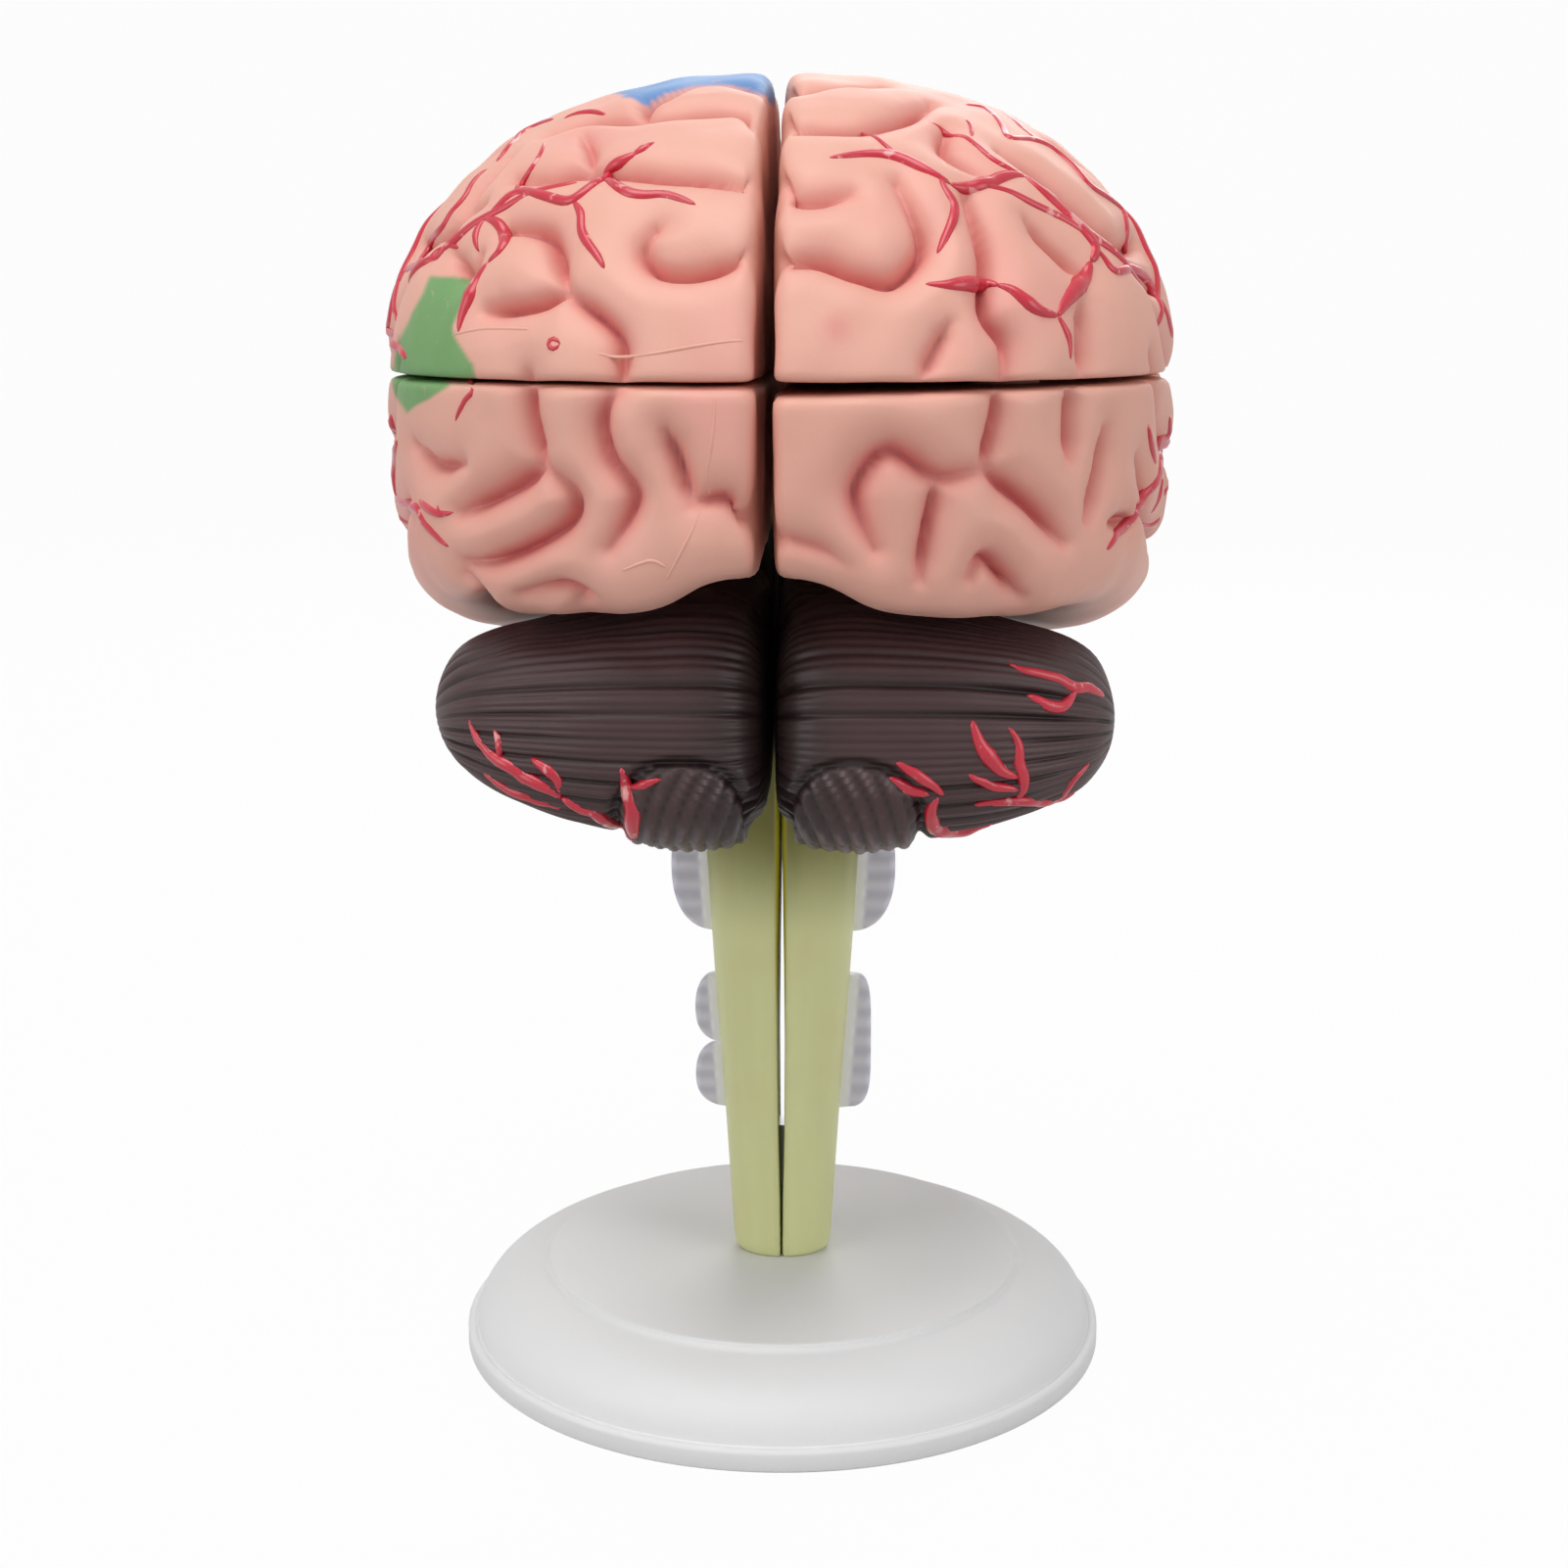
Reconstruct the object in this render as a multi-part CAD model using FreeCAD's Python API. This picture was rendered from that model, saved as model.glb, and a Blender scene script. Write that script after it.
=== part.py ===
import FreeCAD, Part
import math
import os

os.makedirs("parts", exist_ok=True)
V = FreeCAD.Vector

# A life-size teaching model of the human brain on a round stand. Millimetres, +Z up.
# +Y is the forehead side, +X is the model's right side, and the stand's axis is the Z axis.

# Stand
base_radius = 61.35
base_height = 16.4
base_lip_height = 4.1
base_lip_ledge = 1.9
base_plateau_radius = 45.35
base_plateau_step = 1.0
base_shoulder_bulge = 3.6
base_shoulder_flats = 4
base_wall = 2.4
boss_radius = 9.0
boss_depth = 4.6
rod_radius = 3.0
rod_grip_length = 25.6
rod_tail_length = 13.2
rod_collar_radius = 4.6
rod_collar_height = 2.0
washer_radius = 7.0
washer_thickness = 1.2
nut_across_flats = 10.0
nut_height = 4.6
thread_clearance = 0.05
small_round_sides = 12
base_round_sides = 48

# Brain stem: the cord that stands on the foot, and over it the crown. Its sections are (place,
# half width, half depth, how far forward). The cord's places are shares of its length, and the
# crown's are measured down from the cerebrum's parting plane.
stem_gap = 0.6
stem_ring_sides = 16
cord_length = 93.6
crown_length = 75.5
cord_sections = [
    (0.0, 7.6, 5.6, 0.0),
    (0.0085, 8.8, 6.8, 0.0),
    (0.03, 9.4, 7.3, 0.0),
    (0.306, 11.0, 8.4, 0.0),
    (0.594, 12.9, 9.8, 0.0),
    (0.861, 14.4, 10.9, 0.0),
]
crown_sections = [
    (crown_length, 14.8, 12.0, 0.5),
    (66.5, 16.8, 14.8, 2.5),
    (55.5, 16.8, 15.0, 3.0),
    (47.5, 14.0, 12.6, 1.5),
    (39.5, 12.5, 11.0, 0.5),
    (30.5, 14.5, 13.0, 2.0),
    (19.5, 16.5, 15.5, 3.5),
    (10.5, 13.5, 14.0, 4.0),
    (5.5, 7.5, 9.0, 4.5),
]

# Nerve root plates. The height of each one's middle is a share of the cord's length.
root_thickness = 2.6
root_forward = 3.0
root_rim_width = 2.2
root_rib_depth = 0.5
upper_root_reach = 21.4
upper_root_length = 26.0
upper_root_place = 0.808
lower_root_reach = 17.0
lower_root_length = 27.0
lower_root_place = 0.434
lower_root_notch_share = 0.485
upper_root_ribs = 6
lower_root_ribs = 6
root_edge_flats = 6

# Cerebrum. Depths are measured down from the parting plane at cut_height.
half_width = 70.0
half_length = 84.0
cut_height = base_height + cord_length + crown_length
top_height = 51.5
low_height = 53.0
plan_power = 2.3
top_power = 2.2
low_power = 4.0
pole_drop = 8.0
cerebrum_gap = 1.3
mid_plane_inset = 0.3
mid_plane_blend = 0.35
cerebrum_centre_x = 35.0
edge_power = 12.0
temporal_depth = 52.5
frontal_depth = 20.5
occipital_depth = 39.5
frontal_start = 32.0
frontal_run = 16.0
occipital_start = 5.0
occipital_run = 45.0
rear_edge_start = 45.0
rear_edge_run = 25.0
middle_rise = 26.0
middle_rise_end = 40.0
middle_rise_run = 20.0
middle_rise_half_width = 28.0
rear_middle_rise = 12.0
rear_middle_start = 10.0
rear_middle_run = 30.0
edge_middle_rise = 8.0
edge_middle_narrowing = 13.0
front_cut_start = 16.0
front_cut_end = 37.0
right_middle_gap = 1.9
right_side_gap = 0.6
left_parting_gap = 0.5
cerebrum_cell_counts = (12, 26, 16)

# Folds of the cerebrum
fold_depth = 5.2
fold_reach = 4.0
fold_floor = 0.5
fold_step = 2.5
fold_snap = 3.2
fold_end_taper = 0.35
fold_end_share = 0.55
fold_least_turn = 0.3

# Cerebellum
cerebellum_half_width = 57.5
cerebellum_half_depth = 31.0
cerebellum_top_height = 22.8
cerebellum_low_height = 20.5
cerebellum_back = 40.0
cerebellum_depth = 58.5
cerebellum_power = 2.7
tonsil_centre = (15.0, -38.0, -13.0)
tonsil_half_sizes = (13.5, 16.0, 9.5)
ridge_centre = (0.0, -34.0, 12.0)
ridge_half_sizes = (17.0, 21.0, 14.5)
cerebellum_gap = 1.5
cerebellum_centre_x = 27.0
cerebellum_edge_power = 6.0
cerebellum_cell_counts = (8, 8, 16)
cerebellum_cap_power = 12.0
cerebellum_cap_clearance = 1.8
flank_way = (0.415, -0.91)
flank_power = 8.0
right_flank_reach = 34.0
left_flank_reach = 29.5
leaf_pitch_deg = 11.25
leaf_depth = 1.4

# Pegs
peg_radius = 2.5
peg_clearance = 0.08
peg_end_room = 0.6
joining_peg_half_length = 7.0
joining_peg_depths = (73.5, 33.0)
joining_peg_forward = 1.0
side_peg_depth = 20.5
side_peg_inner = 9.0
side_peg_outer = 26.0
side_peg_forward = 3.0
lift_peg_x = 38.0
lift_peg_places = (-42.0, 2.0)
lift_peg_depth = 12.0
lift_peg_rise = 9.0
lift_seat_radius = 5.5
cerebellum_peg_x = 8.5
cerebellum_peg_start = (-3.0, -60.0)
cerebellum_peg_length = 22.0
cerebellum_way = V(0, -0.8, -0.6)
seat_clearance = 0.4


def ease(t):
    """Smooth step from 0 to 1."""
    t = min(max(t, 0.0), 1.0)
    return t * t * (3 - 2 * t)


# The folds are drawn on five views, each as a few points that the groove runs through.
# Rear and front points are (distance from the middle, height over the parting plane), side
# points are (forward, height) and top points are (distance from the middle, forward).
rear_left_folds = [
    [(38, 40), (31, 42), (20, 42), (6, 43), (2, 40)],
    [(20, 42), (21, 44), (15, 47), (7, 48), (2, 46)],
    [(42, 32), (36, 32), (29, 33), (15, 32), (2, 30)],
    [(31, 39), (29, 36), (29, 33)],
    [(17, 24), (19, 21), (17, 18), (12, 17), (2, 19)],
    [(42, 24), (37, 24), (34, 22), (31, 14)],
    [(31, 14), (37, 12), (45, 11)],
    [(31, 14), (25, 10), (22, 6), (22, -1)],
    [(44, 36), (50, 29), (55, 20)],
    [(52, 20), (49, 17), (47, 20)],
    [(37, 1), (37, -5), (35, -13)],
    [(35, -13), (42, -17), (50, -21)],
    [(35, -13), (30, -17), (32, -22), (43, -28), (49, -29)],
    [(22, 1), (25, -5), (24, -11), (20, -17), (24, -25)],
    [(15, -7), (13, -12), (11, -18)],
    [(11, -18), (6, -17), (1, -20)],
    [(59, -11), (55, -14), (49, -13)],
    [(49, -31), (46, -34), (46, -40)],
    [(39, -34), (32, -32), (27, -35)],
]
rear_right_folds = [
    [(1, 40), (8, 40), (15, 40), (21, 42), (26, 45)],
    [(1, 46), (8, 47), (18, 48)],
    [(1, 30), (6, 28), (13, 29)],
    [(20, 31), (24, 23), (23, 19), (19, 16), (14, 17), (8, 19), (1, 18)],
    [(31, 29), (34, 20), (34, 11), (37, 6), (37, 0)],
    [(28, 9), (26, 5), (24, 1)],
    [(41, 25), (44, 22), (50, 17)],
    [(28, 40), (28, 36), (34, 32)],
    [(50, 12), (50, 1)],
    [(37, 36), (47, 30), (56, 23)],
    [(56, 22), (59, 18), (65, 14)],
    [(36, 0), (36, -5), (34, -13)],
    [(34, -13), (27, -14), (19, -10), (14, -16), (17, -25)],
    [(27, -14), (25, -24), (24, -30)],
    [(34, -13), (42, -19), (47, -25)],
    [(48, -1), (48, -12)],
    [(54, -8), (53, -15), (51, -22)],
    [(32, -30), (35, -27), (40, -34)],
    [(60, -13), (63, -21)],
    [(55, -23), (60, -23)],
    [(1, -23), (9, -25), (16, -31)],
]
side_folds = [
    [(42, -21), (28, -14), (8, -8), (-14, -2), (-32, 7), (-37, 15)],
    [(-4, 38), (6, 25), (9, 12), (15, -1)],
    [(18, 38), (22, 28), (27, 14), (26, 1)],
    [(-22, 38), (-14, 26), (-8, 14), (-13, 3)],
    [(34, -28), (14, -22), (-10, -17), (-32, -9), (-44, 3)],
    [(22, -38), (-6, -33), (-28, -28), (-46, -21)],
    [(64, 6), (50, 15), (38, 13), (30, 17)],
    [(37, -16), (38, -2)],
    [(44, -12), (54, 0)],
    [(-26, 22), (-38, 22), (-46, 28)],
    [(-6, -33), (-9, -44)],
    [(-24, -13), (-20, -27)],
    [(72, -8), (60, -9), (50, -5)],
]
top_folds = [
    [(3, -10), (18, -7), (36, -2)],
    [(4, 12), (18, 14), (34, 18)],
    [(20, 22), (24, 44), (20, 66)],
    [(4, 36), (12, 37), (22, 34)],
    [(24, 44), (38, 46), (48, 42)],
]
front_folds = [
    [(3, 22), (14, 20), (22, 24)],
    [(8, 4), (22, 8), (38, 4)],
    [(22, 8), (25, 18)],
    [(5, -10), (18, -7), (32, -10), (44, -6)],
]


def floor_height(x, y):
    """Height of the cerebrum's underside, which is raised over the cerebellum and the stem."""
    front = ease((y - frontal_start) / frontal_run)
    back = ease((-y - occipital_start) / occipital_run)
    edge = ease((-y - rear_edge_start) / rear_edge_run)
    depth = temporal_depth - (temporal_depth - frontal_depth) * front
    depth -= (temporal_depth - occipital_depth) * back
    behind = ease((-y - rear_middle_start) / rear_middle_run)
    rise = middle_rise + (rear_middle_rise - middle_rise) * behind
    rise += (edge_middle_rise - rear_middle_rise) * edge
    rise *= ease((middle_rise_end - y) / middle_rise_run)
    middle_half_width = middle_rise_half_width - edge_middle_narrowing * edge
    middle = 1 / (1 + (abs(x) / middle_half_width) ** 4)
    return cut_height - depth + rise * middle


def cerebrum_level(x, y, z):
    """Under 1 inside the right hemisphere and 1 on its smooth outer form."""
    along = y / half_length
    plan = (abs(x / half_width) ** plan_power + abs(along) ** plan_power) ** (1 / plan_power)
    rise = z - cut_height + pole_drop * along * along
    if rise > 0:
        power = top_power
        outer = (plan ** power + (rise / top_height) ** power) ** (1 / power)
    else:
        power = low_power
        outer = (plan ** power + (-rise / low_height) ** power) ** (1 / power)
    inner = max(0.0, (cerebrum_centre_x - x) / (cerebrum_centre_x - mid_plane_inset))
    under = max(0.0, (cut_height - z) / (cut_height - floor_height(x, y)))
    return (outer ** edge_power + inner ** edge_power + under ** edge_power) ** (1 / edge_power)


def ellipsoid_level(place, centre, half_sizes):
    """Under 1 inside an ellipsoid."""
    return math.sqrt(sum(((p - c) / h) ** 2 for p, c, h in zip(place, centre, half_sizes)))


def cerebellum_level(x, y, z, flank_reach):
    """Under 1 inside half of the cerebellum: its body, lower lobule or middle ridge.

    The body's lower outer flank slopes, and its top stays under the cerebrum's underside."""
    centre_height = cut_height - cerebellum_depth
    room = floor_height(x, y) - cerebellum_cap_clearance - centre_height
    z = z - centre_height
    power = cerebellum_power
    half_height = cerebellum_top_height if z > 0 else cerebellum_low_height
    body = abs(x / cerebellum_half_width) ** power
    body += abs((y + cerebellum_back) / cerebellum_half_depth) ** power
    body += abs(z / half_height) ** power
    flank = max(0.0, (x * flank_way[0] + z * flank_way[1]) / flank_reach)
    outer = min(
        (body ** (flank_power / power) + flank ** flank_power) ** (1 / flank_power),
        ellipsoid_level((x, y, z), tonsil_centre, tonsil_half_sizes),
        ellipsoid_level((x, y, z), ridge_centre, ridge_half_sizes),
    )
    inner = max(0.0, (cerebellum_centre_x - x) / (cerebellum_centre_x - mid_plane_inset))
    power = cerebellum_edge_power
    outer = (outer ** power + inner ** power) ** (1 / power)
    power = cerebellum_cap_power
    return (outer ** power + max(0.0, z / room) ** power) ** (1 / power)


def reach(level, start, way):
    """Distance from start, along way, to the form's skin."""
    near = 0.0
    far = 2 * half_length
    for _ in range(32):
        middle = (near + far) / 2
        point = start + way * middle
        if level(point.x, point.y, point.z) < 1:
            near = middle
        else:
            far = middle
    return near


def smooth_line(points):
    """Points about one step apart on a smooth curve through the given ones."""
    ends = [points[0]] + points + [points[-1]]
    line = []
    for stretch in zip(ends, ends[1:], ends[2:], ends[3:]):
        count = max(1, round(math.dist(stretch[1], stretch[2]) / fold_step))
        for i in range(count):
            t = i / count
            place = []
            for p, q, r, s in zip(*stretch):
                bend = (2 * p - 5 * q + 4 * r - s) * t ** 2 + (3 * q - p - 3 * r + s) * t ** 3
                place.append(0.5 * (2 * q + (r - p) * t + bend))
            line.append(place)
    return line + [list(points[-1])]


def fold_points(folds, view):
    """Each fold's places on the right hemisphere's smooth skin, with its depth at each place."""
    centre = V(cerebrum_centre_x, 0, cut_height)
    found = []
    for fold in folds:
        line = smooth_line(fold)
        for i, (a, b) in enumerate(line):
            if view == "rear":
                start, way = V(a, 0, cut_height + b), V(0, -1, 0)
            elif view == "front":
                start, way = V(a, 0, cut_height + b), V(0, 1, 0)
            elif view == "side":
                start, way = V(cerebrum_centre_x, a, cut_height + b), V(1, 0, 0)
            else:
                start, way = V(a, b, cut_height), V(0, 0, 1)
            if cerebrum_level(start.x, start.y, start.z) >= 1:
                continue
            place = start + way * reach(cerebrum_level, start, way)
            inward = ease(min(i, len(line) - 1 - i) / max(1.0, fold_end_taper * len(line)))
            depth = fold_depth * (fold_end_share + (1 - fold_end_share) * inward)
            found.append((place, (place - centre).normalize(), depth))
    return found


def box_lattice(cells):
    """Directions of a box's surface lattice, spread evenly, and its outward triangles."""
    nx, ny, nz = cells
    index = {}
    directions = []

    def node(i, j, k):
        if (i, j, k) not in index:
            spread = [math.tan((2 * n / m - 1) * math.pi / 4) for n, m in zip((i, j, k), cells)]
            index[i, j, k] = len(directions)
            directions.append(V(*spread))
        return index[i, j, k]

    triangles = []
    quads = []
    for j in range(ny):
        for k in range(nz):
            for i, turn in ((0, True), (nx, False)):
                quads.append(([(i, j, k), (i, j + 1, k), (i, j + 1, k + 1), (i, j, k + 1)], turn))
    for i in range(nx):
        for k in range(nz):
            for j, turn in ((0, False), (ny, True)):
                quads.append(([(i, j, k), (i + 1, j, k), (i + 1, j, k + 1), (i, j, k + 1)], turn))
    for i in range(nx):
        for j in range(ny):
            for k, turn in ((0, True), (nz, False)):
                quads.append(([(i, j, k), (i + 1, j, k), (i + 1, j + 1, k), (i, j + 1, k)], turn))
    for corners, turn in quads:
        a, b, c, d = [node(*corner) for corner in corners]
        if turn:
            a, b, c, d = d, c, b, a
        triangles.append((a, b, c))
        triangles.append((a, c, d))
    return directions, triangles


def closed_solid(points, triangles):
    """A solid with flat faces over the given triangles."""
    faces = []
    for a, b, c in triangles:
        faces.append(Part.Face(Part.makePolygon([points[a], points[b], points[c], points[a]])))
    skin = Part.Compound(faces)
    skin.sewShape()
    return Part.makeSolid(skin.Shells[0])


def flat_sided(points, triangles, side):
    """A solid whose points next to the middle plane are laid flat on it, as one face."""
    for point in points:
        if point.x < side + mid_plane_blend:
            point.x = side
    return closed_solid(points, triangles).removeSplitter()


def snap_to_folds(directions, triangles, radii, folds):
    """Moves the nearest lattice directions onto the folds, where that turns no triangle over."""
    around = [[] for _ in directions]
    for t, corners in enumerate(triangles):
        for corner in corners:
            around[corner].append(t)

    def twist(t):
        a, b, c = [directions[n] for n in triangles[t]]
        return a.cross(b).dot(c)

    usual = [twist(t) for t in range(len(triangles))]
    wishes = []
    for n, direction in enumerate(directions):
        skin_point = V(cerebrum_centre_x, 0, cut_height) + direction * radii[n]
        best = min(folds, key=lambda fold: skin_point.distanceToPoint(fold[0]))
        gap = skin_point.distanceToPoint(best[0])
        if gap < fold_snap:
            wish = best[1] if directions[n].z else V(best[1].x, best[1].y, 0).normalize()
            wishes.append((gap, n, wish))
    for gap, n, wish in sorted(wishes, key=lambda item: item[0]):
        before = directions[n]
        directions[n] = wish
        if min(twist(t) / usual[t] for t in around[n]) < fold_least_turn:
            directions[n] = before


def cerebrum_half(rear_folds):
    """The right hemisphere's folded form, before it is cut into an upper and a lower piece."""
    folds = fold_points(rear_folds, "rear") + fold_points(side_folds, "side")
    folds += fold_points(top_folds, "top") + fold_points(front_folds, "front")
    centre = V(cerebrum_centre_x, 0, cut_height)
    directions, triangles = box_lattice(cerebrum_cell_counts)
    box = V(cerebrum_centre_x, half_length, (top_height + low_height) / 2)
    directions = [V(d.x * box.x, d.y * box.y, d.z * box.z).normalize() for d in directions]
    radii = [reach(cerebrum_level, centre, d) for d in directions]
    snap_to_folds(directions, triangles, radii, folds)
    points = []
    for direction in directions:
        radius = reach(cerebrum_level, centre, direction)
        skin_point = centre + direction * radius
        sink = 0.0
        for place, _, depth in folds:
            gap = skin_point.distanceToPoint(place)
            if gap < 4 * fold_reach:
                sink = max(sink, depth * math.exp(-math.hypot(gap, fold_floor) / fold_reach))
        points.append(skin_point - direction * sink)
    return flat_sided(points, triangles, cerebrum_gap / 2)


def half_space(x_low, x_high):
    """A block that holds everything between two planes across the model."""
    size = 4 * half_length
    return Part.makeBox(x_high - x_low, size, size, V(x_low, -size / 2, -size / 4))


def upper_region(middle_gap=0.0, side_gap=0.0):
    """What lies over the parting cut: level from the rear, then down to the frontal underside.

    With gaps the cut is that much lower at the middle and at the side."""
    deep = 2 * half_length
    frontal_height = cut_height - frontal_depth - seat_clearance
    profile = [
        V(0, -deep, cut_height),
        V(0, front_cut_start, cut_height),
        V(0, front_cut_end, frontal_height),
        V(0, deep, frontal_height),
        V(0, deep, cut_height + deep),
        V(0, -deep, cut_height + deep),
        V(0, -deep, cut_height),
    ]
    face = Part.Face(Part.makePolygon([corner - V(0, 0, middle_gap) for corner in profile]))
    return face.extrude(V(deep, 0, deep * (middle_gap - side_gap) / half_width))


def round_outline(radius, sides):
    """A circle round the Z axis, drawn with flats."""
    turns = [2 * math.pi * n / sides for n in range(sides + 1)]
    return [V(radius * math.cos(turn), radius * math.sin(turn), 0) for turn in turns]


def round_bar(radius, length, start, way=V(0, 0, 1)):
    """A small round bar, drawn with flats all round."""
    outline = round_outline(radius, small_round_sides)
    bar = Part.Face(Part.makePolygon(outline)).extrude(V(0, 0, length))
    bar.Placement = FreeCAD.Placement(start, FreeCAD.Rotation(V(0, 0, 1), way))
    return bar


def peg(start, way, length, grown=0.0):
    """A round peg, or with a growth the socket that it fits."""
    return round_bar(peg_radius + grown, length, start, way)


def mirror(shape):
    """The same shape on the model's left side."""
    return shape.mirror(V(0, 0, 0), V(1, 0, 0))


def turned(outline):
    """A large turned solid with flats round it: the outline's corners swept round the Z axis."""
    sides = base_round_sides
    rims = outline[1:-1]
    points = [outline[0], outline[-1]]
    for rim in rims:
        points += [corner + V(0, 0, rim.z) for corner in round_outline(rim.x, sides)[:-1]]
    triangles = []
    for n in range(sides):
        m = (n + 1) % sides
        triangles.append((0, 2 + m, 2 + n))
        for ring in range(len(rims) - 1):
            low, high = 2 + ring * sides, 2 + (ring + 1) * sides
            triangles += [(low + n, low + m, high + m), (low + n, high + m, high + n)]
        top = 2 + (len(rims) - 1) * sides
        triangles.append((top + n, top + m, 1))
    return closed_solid(points, triangles).removeSplitter()


def stand():
    """Turned stand: a moulded hollow foot with a lip, a domed shoulder and a raised round top."""
    ledge = base_radius - base_lip_ledge
    step = base_plateau_radius + base_plateau_step
    shoulder_top = base_height - base_plateau_step
    chord = V(step - ledge, 0, shoulder_top - base_lip_height)
    outward = V(chord.z, 0, -chord.x).normalize()
    shoulder = Part.Arc(
        V(ledge, 0, base_lip_height),
        V(ledge, 0, base_lip_height) + chord * 0.5 + outward * base_shoulder_bulge,
        V(step, 0, shoulder_top),
    ).toShape().discretize(base_shoulder_flats + 1)
    lip_round = base_lip_ledge / 2
    inner_top = base_height - base_wall
    boss_bottom = inner_top - boss_depth
    bore = rod_radius + thread_clearance
    outline = [V(0, 0, boss_bottom), V(boss_radius, 0, boss_bottom), V(boss_radius, 0, inner_top)]
    outline += [
        V(base_plateau_radius - base_wall / 2, 0, inner_top),
        shoulder[len(shoulder) // 2] - outward * base_wall,
        V(base_radius - base_wall, 0, base_lip_height - lip_round),
        V(base_radius - base_wall, 0, 0),
        V(base_radius, 0, 0),
        V(base_radius, 0, base_lip_height - lip_round),
    ]
    outline += [V(base_radius - lip_round, 0, base_lip_height)] + shoulder
    outline += [V(base_plateau_radius, 0, base_height), V(0, 0, base_height)]
    shell = turned(outline).cut(round_bar(bore, base_height, V(0, 0, 0)))

    rod = round_bar(rod_radius, rod_tail_length + rod_grip_length, V(0, 0, base_height - rod_tail_length))
    rod = rod.fuse(round_bar(rod_collar_radius, rod_collar_height, V(0, 0, base_height))).removeSplitter()

    washer_bottom = boss_bottom - washer_thickness
    washer = round_bar(washer_radius, washer_thickness, V(0, 0, washer_bottom))
    washer = washer.cut(round_bar(bore, washer_thickness, V(0, 0, washer_bottom)))
    hexagon = round_outline(nut_across_flats / math.sqrt(3), 6)
    nut = Part.Face(Part.makePolygon(hexagon)).extrude(V(0, 0, nut_height))
    nut.translate(V(0, 0, washer_bottom - nut_height))
    nut = nut.cut(round_bar(bore, nut_height, V(0, 0, washer_bottom - nut_height)))
    return {"base_shell": shell, "support_rod": rod, "rod_washer": washer, "rod_nut": nut}


def stem_sections():
    """All of the stem's sections, with real heights."""
    cord = [(base_height + cord_length * share, *rest) for share, *rest in cord_sections]
    return cord + [(cut_height - depth, *rest) for depth, *rest in crown_sections]


def stem_form(grown=0.0):
    """The whole brain stem, cord to crown, as rings of flat faces; grown on all sides by a room."""
    sections = stem_sections()
    last = len(sections) - 1
    count = stem_ring_sides
    points = []
    triangles = []
    for level, (height, half_wide, half_deep, forward) in enumerate(sections):
        lift = {0: -grown, last: grown}.get(level, 0.0)
        for n in range(count):
            turn = 2 * math.pi * (n + 0.5) / count
            across = (half_wide + grown) * math.sin(turn)
            along = forward - (half_deep + grown) * math.cos(turn)
            points.append(V(across, along, height + lift))
    for level in range(last):
        for n in range(count):
            a = level * count + n
            b = level * count + (n + 1) % count
            triangles += [(a, b, b + count), (a, b + count, a + count)]
    foot = len(points)
    points.append(V(0, sections[0][3], sections[0][0] - grown))
    points.append(V(0, sections[-1][3], sections[-1][0] + grown))
    for n in range(count):
        m = (n + 1) % count
        triangles.append((m, n, foot))
        triangles.append((last * count + n, last * count + m, foot + 1))
    return closed_solid(points, triangles).removeSplitter()


def stem_width_at(height):
    """Half the stem's width at a height."""
    sections = stem_sections()
    for below, above in zip(sections, sections[1:]):
        if below[0] <= height <= above[0]:
            share = (height - below[0]) / (above[0] - below[0])
            return below[1] + (above[1] - below[1]) * share
    return sections[-1][1]


def joining_pegs(grown=0.0):
    """The two pegs that hold the stem's halves together, or their sockets."""
    half = joining_peg_half_length + (peg_end_room if grown else 0.0)
    pegs = [
        peg(V(-half, joining_peg_forward, cut_height - depth), V(1, 0, 0), 2 * half, grown)
        for depth in joining_peg_depths
    ]
    return Part.Compound(pegs)


def side_peg(grown=0.0):
    """The peg that holds a lower piece to the stem's crown, or its socket."""
    room = peg_end_room if grown else 0.0
    start = V(side_peg_inner - room, side_peg_forward, cut_height - side_peg_depth)
    return peg(start, V(1, 0, 0), side_peg_outer - side_peg_inner + 2 * room, grown)


def lift_pegs(grown=0.0):
    """The two pegs that an upper piece is pressed on, or their sockets."""
    room = peg_end_room if grown else 0.0
    length = lift_peg_depth + lift_peg_rise + 2 * room
    pegs = [
        peg(V(lift_peg_x, forward, cut_height - lift_peg_depth - room), V(0, 0, 1), length, grown)
        for forward in lift_peg_places
    ]
    return Part.Compound(pegs)


def cerebellum_peg(grown=0.0):
    """The slanted peg that holds half a cerebellum to the stem, or its socket."""
    room = peg_end_room if grown else 0.0
    forward, rise = cerebellum_peg_start
    start = V(cerebellum_peg_x, forward, cut_height + rise) - cerebellum_way * room
    return peg(start, cerebellum_way, cerebellum_peg_length + 2 * room, grown)


def stem_half():
    """The right half of the stem with its sockets and its half of the rod's bore."""
    half = stem_form().common(half_space(stem_gap / 2, 2 * half_width))
    foot = V(0, 0, base_height)
    bore = round_bar(rod_radius + peg_clearance, rod_grip_length + peg_end_room, foot)
    recess = round_bar(rod_collar_radius + seat_clearance, rod_collar_height + seat_clearance, foot)
    sockets = [joining_pegs(peg_clearance), side_peg(peg_clearance), cerebellum_peg(peg_clearance)]
    return half.cut([bore, recess] + sockets)


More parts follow.
